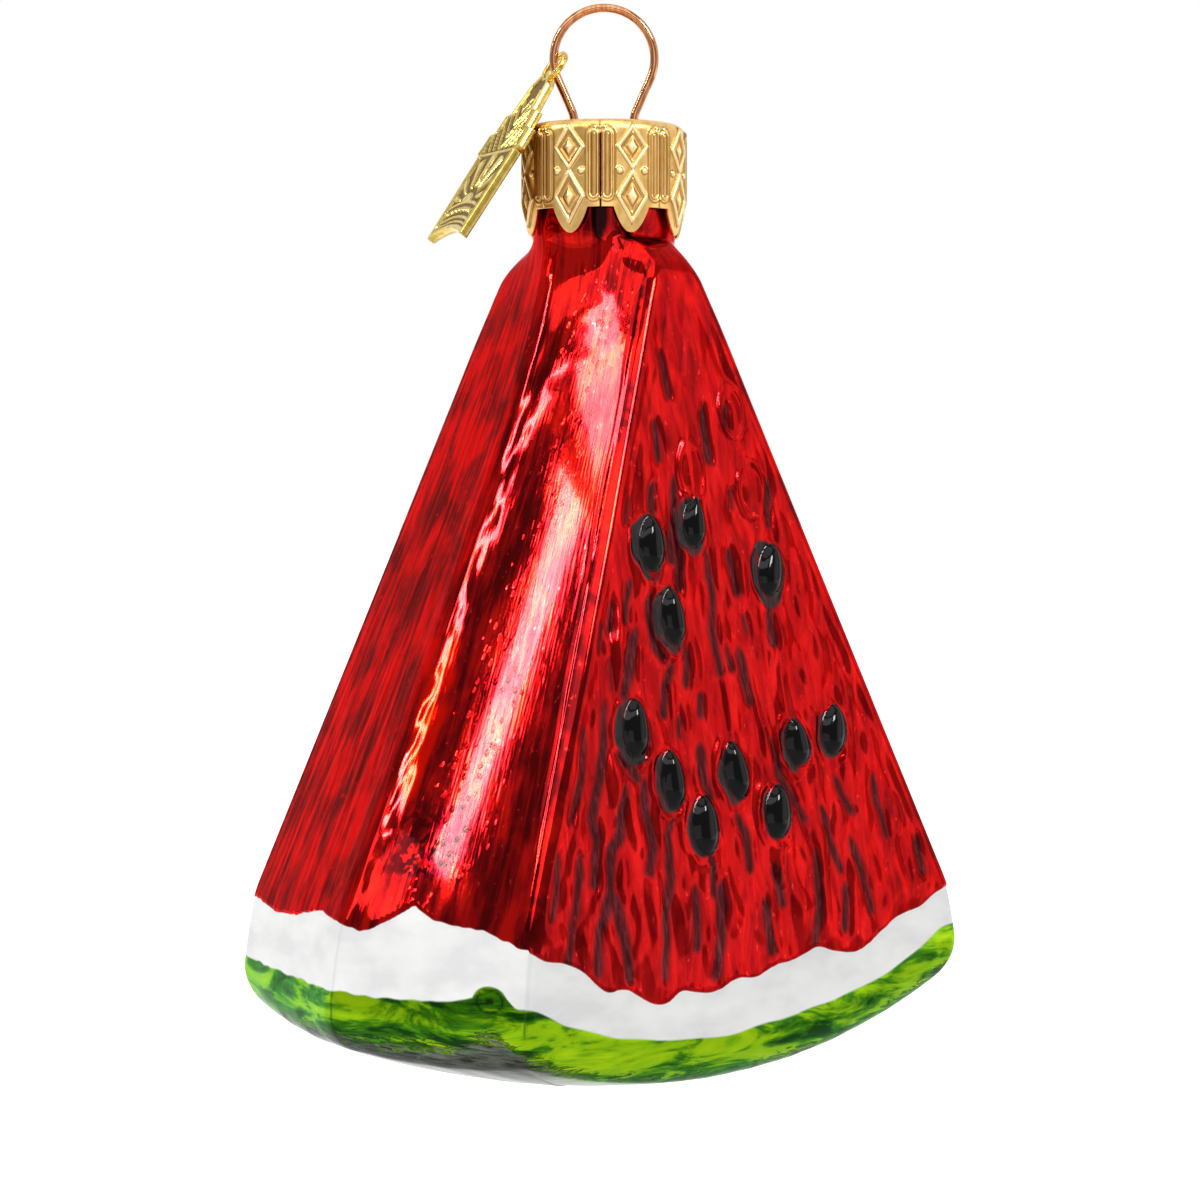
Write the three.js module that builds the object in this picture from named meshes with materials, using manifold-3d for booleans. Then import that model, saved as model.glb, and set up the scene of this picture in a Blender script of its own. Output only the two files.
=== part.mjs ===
// Blown glass ornament in the shape of a watermelon slice, with its stamped crown cap,
// its spring wire hanger and a small cast tag on the hanger's loop.
// Millimetres, +Z up. The origin is inside the top of the wire loop, where a hook carries it.
// The two broad seeded faces look along -Y and +Y, and the ridged sides along -X and +X.
import * as THREE from 'three';
import { mergeVertices } from 'three/addons/utils/BufferGeometryUtils.js';
import Module from 'manifold-3d';

const wasm = await Module();
wasm.setup();

// Clearances
const RUNNING_GAP = 0.3; // between pieces that slide or lean on each other
const EMBOSS_ROOT = 0.2; // how far an embossed shape is rooted in the sheet under it

// Hanger wire
const WIRE_DIAMETER = 0.8;
const LOOP_RADIUS = 4.67; // of the wire's centre line
const LOOP_HEIGHT = 10.5; // from the inside of the loop's top down to the top of the cap
const LEG_SPACING = 5.5; // between the legs' centre lines where they pass through the cap
const LEG_BEND_HEIGHT = 0.9; // above the cap, where the loop's legs turn straight down
const LEG_BEND_SETBACK = 0.65; // over which each leg turns, to both sides of the bend
const LOOP_TRAVEL = 6; // how far the loop can be drawn up through the cap
const LEG_LENGTH = 26; // below the top of the cap
const LEG_PLAY = 0.5; // between the spread legs and the inside of the neck
const LEG_TIP_LENGTH = 2.5; // of the end that curls back in
const LEG_TIP_CURL = 1.2; // how far the curled end comes back in
const HANGER_TURN_DEG = -41.3; // of the cap and hanger on the neck, from the slice's width

// Neck and glass
const GLASS_WALL = 0.9;
const NECK_RADIUS = 6.6;
const NECK_LENGTH = 9.9; // from the mouth to the start of the shoulder
const GLASS_HEIGHT = 87.2; // from the mouth to the lowest point of the rind
const SHOULDER_HEIGHT = 4.5; // over which the round neck turns into the six-sided slice
const SHOULDER_SWELL = 2.5; // above 1, the slice's form is taken on the sooner below the neck
const FACE_WIDTH_TOP = 6.6; // of the seeded face towards -Y at the shoulder
const BACK_WIDTH_TOP = 9.6; // of the seeded face behind it at the shoulder
const FACE_WIDTH_BASE = 52.3; // of both seeded faces where the flesh meets the rind
const THICKNESS_TOP = 20.4; // from face to face at the shoulder
const THICKNESS_BASE = 40.7; // from face to face where the flesh meets the rind
const RIDGE_WIDTH_TOP = 11.4; // from side ridge to side ridge at the shoulder
const RIDGE_WIDTH_BASE = 62; // from side ridge to side ridge where the flesh meets the rind
const RIND_DEPTH = 15.8; // from where the flesh meets the rind at the edges to the lowest point
const RIND_FLARE = 0.35; // share of the walls' slope that goes on down over the rind
const RIND_LOW_X = -2.5; // where the rind's underside is lowest, along the slice's width
const RIND_RISE_TO_SIDES = 5; // how much the underside climbs over half a face's width
const RIND_RISE_TO_FACES = 2.6; // how much it climbs from its middle to the seeded faces
const EDGE_RADIUS = 1.8; // of the upright edges between face and side
const RIDGE_RADIUS = 4; // of the upright ridge along the middle of each side
const RIM_RADIUS = 3.3; // between the walls and the rind's underside

// Seeds: x along the face and z below the origin, on the face towards -Y and on the one behind
const SEED_PLACES = [
  [-7.0, -48.7], [-1.5, -47.0], [7.1, -51.3], [-5.5, -55.2], [-11.5, -64.5], [-8.1, -68.9],
  [-5.0, -73.3], [-0.5, -68.7], [7.5, -66.9], [12.5, -66.2], [4.1, -72.9],
];
const SEED_WIDTH = 3.1;
const SEED_LENGTH = 4.6;
const SEED_PROUD = 0.8; // how far a seed stands out of the face

// Cap
const SHEET = 0.35;
const TOOTH_BEND = 0.25; // how far the tips of the teeth are pressed in to the neck
const TOOTH_BEND_ABOVE = 0.4; // above the valleys, where the teeth start to lean in
const TEETH = 8;
const TEETH_TURN_DEG = 20; // from the hanger's front to the nearest tooth
const SKIRT_HEIGHT = 8; // from the top of the cap to the valleys between the teeth
const TOOTH_DROP = 2.3; // from the valleys to the tips
const TOOTH_FULLNESS = 0.8; // 1 follows a cosine, and less is fuller towards the tip
const VALLEY_WIDTH = 2.5;
const SLIT_WIDTH = 0.3;
const CAP_SHOULDER_RADIUS = 0.95;
const DIAMOND_WIDTH = 2.9;
const UPPER_DIAMOND_HEIGHT = 4.1;
const LOWER_DIAMOND_HEIGHT = 4.8;
const DIAMONDS_BELOW_TOP = 0.6;
const DIAMOND_LAP = 0.2; // where the two diamonds of a tooth run into each other
const DIAMOND_PROUD = 0.35;
const DIAMOND_EDGE_PROUD = 0.18; // of the steep border round each diamond
const DIAMOND_EDGE_SHARE = 0.8; // of the diamond's size that lies inside that border
const RIB_WIDTH = 0.85;
const RIB_LENGTH = 6;
const RIBS_BELOW_TOP = 1.1;
const RIB_PROUD = 0.2;
const RIB_TO_SLIT = 0.15;
const DOT_DIAMETER = 0.65;
const DOT_OFFSET = 1.15; // from the middle of the unit

// Tag
const TAG_THICKNESS = 0.85;
const TAG_REST_GAP = 0.2; // between the tag and the shoulder of the cap that it leans on
const EYE_RADIUS = 1.75;
const EYE_HOLE_RADIUS = 1.25;
const EYE_THICKNESS = 0.6;
const TAG_ON_LOOP_DEG = 10; // below the loop's widest point, where the tag's eye hangs
const TAG_TURN_DEG = 25; // of the tag's lean, from the loop's plane towards the front
const TAG_LENGTH = 19.4; // from the eye's centre to the lower corners
const TAG_WIDTH = 8; // at the lower corners
const TAG_ARCH = 0.9; // how far the lower edge is hollowed
const TAG_ROOT_DEG = 34; // of the eye's rim on each side of its middle, which the plate grows from
// Stepped upper part of the tag's side: half width, and depth below the eye's centre
const TAG_STEPS = [
  [1.9, 2.25], [2.5, 5.35], [3.5, 5.5], [3.7, 7.4], [4.7, 7.6], [4.9, 9.7], [4.3, 10],
];

// What follows from the sizes above
const WIRE_RADIUS = WIRE_DIAMETER / 2;
const LOOP_CENTRE_Z = WIRE_RADIUS - LOOP_RADIUS;
const CAP_TOP_Z = -LOOP_HEIGHT;
const CAP_RADIUS = NECK_RADIUS + RUNNING_GAP + SHEET + TOOTH_BEND;
const VALLEY_Z = CAP_TOP_Z - SKIRT_HEIGHT;
const TIP_Z = VALLEY_Z - TOOTH_DROP;
const BEND_Z = VALLEY_Z + TOOTH_BEND_ABOVE;
const MOUTH_Z = CAP_TOP_Z - SHEET - RUNNING_GAP;
const NECK_END_Z = MOUTH_Z - NECK_LENGTH;
const SHOULDER_Z = NECK_END_Z - SHOULDER_HEIGHT;
const LOWEST_Z = MOUTH_Z - GLASS_HEIGHT;
const RIND_Z = LOWEST_Z + RIND_DEPTH;
const LEG_SPREAD = NECK_RADIUS - GLASS_WALL - LEG_PLAY - WIRE_RADIUS;
const CUT_DEPTH = 4 * SHEET; // of the bodies that cut slits and holes, well through the sheet

// Hands a closed geometry to the solid library, with its shared corners merged.
function toSolid(geometry) {
  const bare = new THREE.BufferGeometry();
  bare.setAttribute('position', geometry.getAttribute('position'));
  if (geometry.index) bare.setIndex(geometry.index);
  const merged = mergeVertices(bare, 1e-4);
  const vertProperties = new Float32Array(merged.getAttribute('position').array);
  const triVerts = new Uint32Array(merged.index.array);
  return new wasm.Manifold(new wasm.Mesh({ numProp: 3, vertProperties, triVerts }));
}

function toGeometry(solid) {
  const mesh = solid.getMesh();
  const geometry = new THREE.BufferGeometry();
  geometry.setAttribute('position', new THREE.BufferAttribute(mesh.vertProperties, 3));
  geometry.setIndex(new THREE.BufferAttribute(mesh.triVerts, 1));
  geometry.computeVertexNormals();
  return geometry;
}

function piece(name, geometry, color, roughness, metalness) {
  const material = new THREE.MeshStandardMaterial({ color, roughness, metalness });
  const mesh = new THREE.Mesh(geometry, material);
  mesh.name = name;
  return mesh;
}

// Closed skin through rings of points, from the top down. Each ring runs counter-clockwise
// seen from above, and the first and last rings close on a middle point.
function loft(rings, topPoint, bottomPoint) {
  const count = rings[0].length;
  const points = [topPoint, ...rings.flat(), bottomPoint];
  const at = (ring, i) => 1 + ring * count + (i % count);
  const last = points.length - 1;
  const index = [];
  for (let i = 0; i < count; i += 1) {
    index.push(0, at(0, i), at(0, i + 1));
    index.push(last, at(rings.length - 1, i + 1), at(rings.length - 1, i));
    for (let ring = 0; ring < rings.length - 1; ring += 1) {
      index.push(at(ring, i), at(ring + 1, i), at(ring + 1, i + 1));
      index.push(at(ring, i), at(ring + 1, i + 1), at(ring, i + 1));
    }
  }
  const geometry = new THREE.BufferGeometry().setFromPoints(points);
  geometry.setIndex(index);
  return geometry;
}

// Polygon with rounded corners, as a fixed number of points whatever its size.
function roundedOutline(corners) {
  const points = [];
  corners.forEach((corner, k) => {
    const before = corners[(k + corners.length - 1) % corners.length];
    const after = corners[(k + 1) % corners.length];
    const inward = corner.at.clone().sub(before.at).normalize();
    const outward = after.at.clone().sub(corner.at).normalize();
    const turn = Math.atan2(inward.cross(outward), inward.dot(outward));
    const setback = corner.radius * Math.tan(turn / 2);
    const start = corner.at.clone().addScaledVector(inward, -setback);
    const normal = new THREE.Vector2(-inward.y, inward.x);
    const centre = start.clone().addScaledVector(normal, corner.radius);
    for (let j = 0; j <= corner.steps; j += 1) {
      const spoke = start.clone().rotateAround(centre, (turn * j) / corner.steps);
      points.push(spoke);
    }
    const end = points[points.length - 1];
    const afterNext = corners[(k + 2) % corners.length];
    const nextOutward = afterNext.at.clone().sub(after.at).normalize();
    const nextTurn = Math.atan2(outward.cross(nextOutward), outward.dot(nextOutward));
    const nextSetback = after.radius * Math.tan(nextTurn / 2);
    const nextStart = after.at.clone().addScaledVector(outward, -nextSetback);
    for (let j = 1; j < corner.sideSteps; j += 1) {
      points.push(end.clone().lerp(nextStart, j / corner.sideSteps));
    }
  });
  return points;
}

// The slice's six-sided section at a height, moved in by inset: half widths and outline.
function sliceSizes(z, inset) {
  const onWall = z >= RIND_Z ? z : RIND_Z + (z - RIND_Z) * RIND_FLARE;
  const down = (SHOULDER_Z - onWall) / (SHOULDER_Z - RIND_Z);
  const front = THREE.MathUtils.lerp(FACE_WIDTH_TOP, FACE_WIDTH_BASE, down) / 2;
  const back = THREE.MathUtils.lerp(BACK_WIDTH_TOP, FACE_WIDTH_BASE, down) / 2;
  const thick = THREE.MathUtils.lerp(THICKNESS_TOP, THICKNESS_BASE, down) / 2;
  const taperedRidge = THREE.MathUtils.lerp(RIDGE_WIDTH_TOP, RIDGE_WIDTH_BASE, down) / 2;
  // the side ridges run on smoothly to the neck's radius, and never inside it
  const ridge = (taperedRidge ** 4 + NECK_RADIUS ** 4) ** 0.25;
  // the inset walls stay parallel to the outer ones on the front's sides
  const insetFace = (face) => face - (inset * (Math.hypot(ridge - face, thick) - ridge + face)) / thick;
  return {
    front: insetFace(front),
    back: insetFace(back),
    thick: thick - inset,
    ridge: ridge - (inset * Math.hypot(ridge - front, thick)) / thick,
  };
}

function sliceOutline(z, inset) {
  const { front, back, thick, ridge } = sliceSizes(z, inset);
  const edge = { radius: EDGE_RADIUS - inset, steps: 3 };
  const crest = { radius: RIDGE_RADIUS - inset, steps: 2, sideSteps: 4 };
  return roundedOutline([
    { at: new THREE.Vector2(-front, -thick), sideSteps: 8, ...edge },
    { at: new THREE.Vector2(front, -thick), sideSteps: 4, ...edge },
    { at: new THREE.Vector2(ridge, 0), ...crest },
    { at: new THREE.Vector2(back, thick), sideSteps: 8, ...edge },
    { at: new THREE.Vector2(-back, thick), sideSteps: 4, ...edge },
    { at: new THREE.Vector2(-ridge, 0), ...crest },
  ]);
}

// Outline that turns from the round neck into the slice over the shoulder.
function bodyOutline(z, inset) {
  const slice = sliceOutline(z, inset);
  if (z <= SHOULDER_Z) return slice;
  const left = THREE.MathUtils.clamp((z - SHOULDER_Z) / SHOULDER_HEIGHT, 0, 1);
  const blend = 1 - left ** SHOULDER_SWELL;
  const spokes = sliceOutline(SHOULDER_Z, inset);
  return slice.map((point, i) => {
    const onNeck = spokes[i].clone().setLength(NECK_RADIUS - inset);
    return onNeck.lerp(point, blend);
  });
}

// Underside of the rind: lowest near the middle, climbing to the sides and to the faces.
function rindZ(point, inset) {
  const across = (point.x - RIND_LOW_X) / (FACE_WIDTH_BASE / 2);
  const through = point.y / (THICKNESS_BASE / 2);
  return LOWEST_Z + inset + RIND_RISE_TO_SIDES * across ** 2 + RIND_RISE_TO_FACES * through ** 2;
}

// One closed skin of the glass, the outside with inset 0 or the inside with inset the wall.
function glassSkin(inset, topZ) {
  const level = (z) => bodyOutline(z, inset).map((p) => new THREE.Vector3(p.x, p.y, z));
  const rings = [level(topZ)];
  const shoulderSteps = 6;
  for (let step = 0; step <= shoulderSteps; step += 1) {
    rings.push(level(NECK_END_Z - (SHOULDER_HEIGHT * step) / shoulderSteps));
  }
  const rimRadius = RIM_RADIUS - inset;
  // where each column of points leaves the wall: a few rounds settle the height and the outline
  const settlingRounds = 6;
  const rimHeights = rings[0].map((unused, i) => {
    let z = RIND_Z;
    for (let round = 0; round < settlingRounds; round += 1) {
      z = rindZ(bodyOutline(z, inset)[i], inset);
    }
    return z;
  });
  const wallSteps = 6;
  for (let step = 1; step <= wallSteps; step += 1) {
    rings.push(rimHeights.map((rimZ, i) => {
      const z = THREE.MathUtils.lerp(SHOULDER_Z, rimZ + rimRadius, step / wallSteps);
      const point = bodyOutline(z, inset)[i];
      return new THREE.Vector3(point.x, point.y, z);
    }));
  }
  const rimSteps = 3;
  for (let step = 1; step <= rimSteps; step += 1) {
    const angle = (Math.PI / 2) * (step / rimSteps);
    const up = rimRadius * (1 - Math.sin(angle));
    rings.push(rimHeights.map((rimZ, i) => {
      const point = bodyOutline(rimZ + up, inset)[i];
      point.setLength(point.length() - rimRadius * (1 - Math.cos(angle)));
      return new THREE.Vector3(point.x, point.y, rindZ(point, inset) + up);
    }));
  }
  const rim = rings[rings.length - 1];
  const undersideSteps = 4;
  for (let step = 1; step < undersideSteps; step += 1) {
    rings.push(rim.map((corner) => {
      const point = new THREE.Vector2(corner.x, corner.y).multiplyScalar(1 - step / undersideSteps);
      return new THREE.Vector3(point.x, point.y, rindZ(point, inset));
    }));
  }
  const middle = new THREE.Vector3(0, 0, rindZ(new THREE.Vector2(), inset));
  return loft(rings, new THREE.Vector3(0, 0, topZ), middle);
}

// Almond bumps on the seeded face towards side, -1 or 1 along Y.
function seedBumps(side) {
  const above = sliceSizes(SHOULDER_Z, 0).thick;
  const below = sliceSizes(RIND_Z, 0).thick;
  const lean = Math.atan2(below - above, SHOULDER_Z - RIND_Z);
  return SEED_PLACES.map(([x, z]) => {
    const bump = new THREE.SphereGeometry(1, 10, 6);
    bump.scale(SEED_WIDTH / 2, SEED_PROUD, SEED_LENGTH / 2);
    bump.rotateX(-side * lean);
    bump.translate(-side * x, side * sliceSizes(z, 0).thick, z);
    return toSolid(bump);
  });
}

function glassBody() {
  let solid = toSolid(glassSkin(0, MOUTH_Z));
  for (const bump of [...seedBumps(-1), ...seedBumps(1)]) solid = solid.add(bump);
  const hollow = toSolid(glassSkin(GLASS_WALL, MOUTH_Z + GLASS_WALL));
  return piece('glass_body', toGeometry(solid.subtract(hollow)), 0xc00010, 0.12, 0.3);
}

// Height of the cap's lower edge at an angle from the middle of the nearest tooth.
function capEdgeZ(angle) {
  const fromTooth = Math.abs(angle) * CAP_RADIUS;
  const toothHalf = (Math.PI * CAP_RADIUS) / TEETH - VALLEY_WIDTH / 2;
  if (fromTooth >= toothHalf) return VALLEY_Z;
  const rise = Math.cos((Math.PI / 2) * (fromTooth / toothHalf));
  return VALLEY_Z - TOOTH_DROP * rise ** TOOTH_FULLNESS;
}

// Outer radius of the cap's skirt, which narrows a little towards the tips of the teeth.
function skirtRadius(z) {
  const bent = THREE.MathUtils.clamp((BEND_Z - z) / (BEND_Z - TIP_Z), 0, 1);
  return CAP_RADIUS - TOOTH_BEND * bent;
}

// Angles of the cap's columns, the same few in every tooth, with a column on each corner.
function capAngles() {
  const unit = (2 * Math.PI) / TEETH;
  const toothHalf = unit / 2 - VALLEY_WIDTH / 2 / CAP_RADIUS;
  const offsets = [-1, -0.75, -0.45, -0.15, 0.15, 0.45, 0.75, 1].map((share) => share * toothHalf);
  const angles = [];
  for (let tooth = 0; tooth < TEETH; tooth += 1) {
    for (const offset of [...offsets, unit / 2]) {
      angles.push({ angle: tooth * unit + offset, fromTooth: offset });
    }
  }
  return angles;
}

// Point on the cap, at an angle counted from the front towards +X.
function onCap(angle, radius, z) {
  return new THREE.Vector3(radius * Math.sin(angle), -radius * Math.cos(angle), z);
}

// The drawn cup with its toothed edge, outside and inside.
function capCup() {
  const columns = capAngles();
  const ring = (radius, z) => columns.map(({ angle }) => onCap(angle, radius, z));
  const outside = [];
  const shoulderSteps = 3;
  for (let step = 0; step <= shoulderSteps; step += 1) {
    const angle = (Math.PI / 2) * (step / shoulderSteps);
    const radius = CAP_RADIUS - CAP_SHOULDER_RADIUS * (1 - Math.sin(angle));
    outside.push(ring(radius, CAP_TOP_Z - CAP_SHOULDER_RADIUS * (1 - Math.cos(angle))));
  }
  outside.push(ring(CAP_RADIUS, BEND_Z));
  const edge = (inset) => columns.map(({ angle, fromTooth }) => {
    const z = capEdgeZ(fromTooth);
    return onCap(angle, skirtRadius(z) - inset, z);
  });
  const inside = [
    ring(CAP_RADIUS - SHEET, BEND_Z),
    ring(CAP_RADIUS - SHEET, CAP_TOP_Z - CAP_SHOULDER_RADIUS),
    ring(CAP_RADIUS - CAP_SHOULDER_RADIUS, CAP_TOP_Z - SHEET),
  ];
  const rings = [...outside, edge(0), edge(SHEET), ...inside];
  const top = new THREE.Vector3(0, 0, CAP_TOP_Z);
  return loft(rings, top, new THREE.Vector3(0, 0, CAP_TOP_Z - SHEET));
}

// Bends a flat shape round the cap: x runs along the skirt, y is the height below the origin
// and z stands out of the sheet.
function wrapOnCap(geometry, turn) {
  const position = geometry.getAttribute('position');
  for (let i = 0; i < position.count; i += 1) {
    const z = position.getY(i);
    const radius = skirtRadius(z) + position.getZ(i);
    const point = onCap(turn + position.getX(i) / CAP_RADIUS, radius, z);
    position.setXYZ(i, point.x, point.y, point.z);
  }
  return geometry;
}

// Raised diamond: a rhombus rooted in the sheet, rising to a point.
function diamond(height, topZ) {
  const middle = topZ - height / 2;
  const rhombus = (share, out) => [
    new THREE.Vector3((-DIAMOND_WIDTH / 2) * share, middle, out),
    new THREE.Vector3(0, middle - (height / 2) * share, out),
    new THREE.Vector3((DIAMOND_WIDTH / 2) * share, middle, out),
    new THREE.Vector3(0, middle + (height / 2) * share, out),
  ];
  const root = new THREE.Vector3(0, middle, -EMBOSS_ROOT);
  const tip = new THREE.Vector3(0, middle, DIAMOND_PROUD);
  const border = rhombus(DIAMOND_EDGE_SHARE, DIAMOND_EDGE_PROUD);
  return loft([border, rhombus(1, 0), rhombus(1, -EMBOSS_ROOT)], tip, root);
}

// Upright rib with pointed ends, its middle beside the slit at offset along the skirt.
function rib(offset) {
  const half = RIB_WIDTH / 2;
  const topZ = CAP_TOP_Z - RIBS_BELOW_TOP;
  const shape = new THREE.Shape([
    new THREE.Vector2(offset - half, topZ - half),
    new THREE.Vector2(offset - half, topZ - RIB_LENGTH + half),
    new THREE.Vector2(offset, topZ - RIB_LENGTH),
    new THREE.Vector2(offset + half, topZ - RIB_LENGTH + half),
    new THREE.Vector2(offset + half, topZ - half),
    new THREE.Vector2(offset, topZ),
  ]);
  const depth = EMBOSS_ROOT + RIB_PROUD;
  const geometry = new THREE.ExtrudeGeometry(shape, { depth, bevelEnabled: false });
  return geometry.translate(0, 0, -EMBOSS_ROOT);
}

function dot(offset, z) {
  const geometry = new THREE.SphereGeometry(DOT_DIAMETER / 2, 6, 4);
  return geometry.translate(offset, z, 0);
}

function crownCap() {
  let solid = toSolid(capCup());
  const unit = (2 * Math.PI) / TEETH;
  const crossingZ = CAP_TOP_Z - DIAMONDS_BELOW_TOP - UPPER_DIAMOND_HEIGHT;
  const ribOffset = SLIT_WIDTH / 2 + RIB_TO_SLIT + RIB_WIDTH / 2;
  const slitHeight = SKIRT_HEIGHT - CAP_SHOULDER_RADIUS + RUNNING_GAP;
  const hangerTurn = THREE.MathUtils.degToRad(-TEETH_TURN_DEG);
  for (let tooth = 0; tooth < TEETH; tooth += 1) {
    const middle = tooth * unit;
    const valley = middle + unit / 2;
    const raised = [
      [diamond(UPPER_DIAMOND_HEIGHT + DIAMOND_LAP, crossingZ + UPPER_DIAMOND_HEIGHT), middle],
      [diamond(LOWER_DIAMOND_HEIGHT + DIAMOND_LAP, crossingZ + DIAMOND_LAP), middle],
      [dot(-DOT_OFFSET, crossingZ), middle],
      [dot(DOT_OFFSET, crossingZ), middle],
      [rib(-ribOffset), valley],
      [rib(ribOffset), valley],
    ];
    for (const [shape, turn] of raised) solid = solid.add(toSolid(wrapOnCap(shape, turn)));
    const slit = new THREE.BoxGeometry(SLIT_WIDTH, CUT_DEPTH, slitHeight);
    const slitZ = CAP_TOP_Z - CAP_SHOULDER_RADIUS - slitHeight / 2;
    slit.translate(0, -CAP_RADIUS + SHEET, slitZ).rotateZ(valley);
    solid = solid.subtract(toSolid(slit));
  }
  const holeRadius = WIRE_RADIUS + RUNNING_GAP;
  const holeSides = 12;
  for (const legX of [-LEG_SPACING / 2, LEG_SPACING / 2]) {
    const hole = new THREE.CylinderGeometry(holeRadius, holeRadius, CUT_DEPTH, holeSides);
    hole.rotateX(Math.PI / 2).translate(legX, 0, CAP_TOP_Z - SHEET / 2).rotateZ(hangerTurn);
    solid = solid.subtract(toSolid(hole));
  }
  const cap = piece('cap', toGeometry(solid), 0xd9a441, 0.32, 1);
  cap.rotation.z = THREE.MathUtils.degToRad(TEETH_TURN_DEG);
  return cap;
}

// Right half of the wire's centre line, from the top of the loop to the tip of the leg.
function wireHalf() {
  const legX = LEG_SPACING / 2;
  const bendZ = CAP_TOP_Z + LEG_BEND_HEIGHT;
  const toCentre = Math.hypot(legX, bendZ - LOOP_CENTRE_Z);
  const tangentTurn = Math.asin(LOOP_RADIUS / toCentre) - Math.atan2(legX, LOOP_CENTRE_Z - bendZ);
  const points = [];
  const arcSteps = 16;
  for (let step = 0; step <= arcSteps; step += 1) {
    const angle = Math.PI / 2 - ((Math.PI / 2 + tangentTurn) * step) / arcSteps;
    points.push([LOOP_RADIUS * Math.cos(angle), LOOP_CENTRE_Z + LOOP_RADIUS * Math.sin(angle)]);
  }
  const [tangentX, tangentZ] = points[arcSteps];
  const share = LEG_BEND_SETBACK / Math.hypot(tangentX - legX, tangentZ - bendZ);
  const before = [legX + (tangentX - legX) * share, bendZ + (tangentZ - bendZ) * share];
  const after = [legX, bendZ - LEG_BEND_SETBACK];
  const onBend = [0, 1].map((k) => (before[k] + 2 * [legX, bendZ][k] + after[k]) / 4);
  const straightEnd = CAP_TOP_Z - SHEET - LOOP_TRAVEL - RUNNING_GAP;
  const spreadEnd = CAP_TOP_Z - LEG_LENGTH + LEG_TIP_LENGTH;
  points.push(before, onBend, after, [legX, (CAP_TOP_Z + straightEnd) / 2], [legX, straightEnd]);
  points.push([(legX + LEG_SPREAD) / 2, (straightEnd + spreadEnd) / 2], [LEG_SPREAD, spreadEnd]);
  points.push([LEG_SPREAD - LEG_TIP_CURL, CAP_TOP_Z - LEG_LENGTH]);
  return points;
}

function hangerWire() {
  const right = wireHalf();
  const left = right.slice(1).reverse().map(([x, z]) => [-x, z]);
  const line = [...left, ...right].map(([x, z]) => new THREE.Vector3(x, 0, z));
  const section = new THREE.Shape();
  const sides = 8;
  for (let side = 0; side <= sides; side += 1) {
    const angle = (2 * Math.PI * side) / sides;
    const method = side ? 'lineTo' : 'moveTo';
    section[method](WIRE_RADIUS * Math.cos(angle), WIRE_RADIUS * Math.sin(angle));
  }
  const extrudePath = new THREE.CatmullRomCurve3(line, false, 'centripetal');
  const steps = 84;
  const geometry = new THREE.ExtrudeGeometry(section, { steps, extrudePath, bevelEnabled: false });
  return piece('hanger_wire', toGeometry(toSolid(geometry)), 0xb87350, 0.2, 1);
}

// The tag's outline: a tapered plaque with two stepped lobes and a hollowed lower edge.
// x runs across it and y up it, from the eye's centre.
function tagOutline() {
  const rootRadius = (EYE_RADIUS + EYE_HOLE_RADIUS) / 2;
  const rootAngle = THREE.MathUtils.degToRad(TAG_ROOT_DEG);
  const half = [
    [rootRadius * Math.sin(rootAngle), -rootRadius * Math.cos(rootAngle)],
    ...TAG_STEPS.map(([across, down]) => [across, -down]),
    [TAG_WIDTH / 2, -TAG_LENGTH],
  ];
  const arch = [];
  const archSteps = 6;
  for (let step = 1; step < archSteps; step += 1) {
    const share = 1 - (2 * step) / archSteps;
    arch.push([(share * TAG_WIDTH) / 2, -TAG_LENGTH + TAG_ARCH * (1 - share ** 2)]);
  }
  const mirrored = half.map(([x, y]) => [-x, y]).reverse();
  return [...half, ...arch, ...mirrored].map(([x, y]) => new THREE.Vector2(x, y));
}

function swingTag() {
  const plateShape = new THREE.Shape(tagOutline());
  const plate = new THREE.ExtrudeGeometry(plateShape, { depth: TAG_THICKNESS, bevelEnabled: false });
  plate.translate(0, 0, -TAG_THICKNESS / 2);
  const eyeSides = 20;
  const eye = new THREE.CylinderGeometry(EYE_RADIUS, EYE_RADIUS, EYE_THICKNESS, eyeSides);
  const holeDepth = 2 * TAG_THICKNESS;
  const hole = new THREE.CylinderGeometry(EYE_HOLE_RADIUS, EYE_HOLE_RADIUS, holeDepth, eyeSides);
  const blank = toSolid(plate).add(toSolid(eye.rotateX(Math.PI / 2)));
  const solid = blank.subtract(toSolid(hole.rotateX(Math.PI / 2)));
  // laid so that its length hangs down -Z and its face looks along -X
  const geometry = toGeometry(solid).rotateX(Math.PI / 2).rotateZ(-Math.PI / 2);
  return piece('tag', geometry, 0xe8c76a, 0.3, 1);
}

// How far the tag leans out from the vertical until it rests on the cap's rounded shoulder.
function tagLean(pivot) {
  const out = -pivot.x * Math.cos(THREE.MathUtils.degToRad(TAG_TURN_DEG));
  const across = CAP_RADIUS - CAP_SHOULDER_RADIUS - out;
  const up = pivot.z - (CAP_TOP_Z - CAP_SHOULDER_RADIUS);
  const reach = CAP_SHOULDER_RADIUS + TAG_REST_GAP + TAG_THICKNESS / 2;
  return Math.atan2(across, up) + Math.asin(reach / Math.hypot(across, up));
}

function tagOnLoop() {
  const below = THREE.MathUtils.degToRad(TAG_ON_LOOP_DEG);
  const pivot = new THREE.Vector3(
    -LOOP_RADIUS * Math.cos(below),
    0,
    LOOP_CENTRE_Z - LOOP_RADIUS * Math.sin(below),
  );
  const leaning = new THREE.Group();
  leaning.rotation.y = tagLean(pivot);
  leaning.add(swingTag());
  const turned = new THREE.Group();
  turned.rotation.z = THREE.MathUtils.degToRad(TAG_TURN_DEG);
  turned.position.copy(pivot);
  turned.add(leaning);
  return turned;
}

const hanger = new THREE.Group();
hanger.rotation.z = THREE.MathUtils.degToRad(HANGER_TURN_DEG);
hanger.add(hangerWire(), crownCap(), tagOnLoop());

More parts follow.
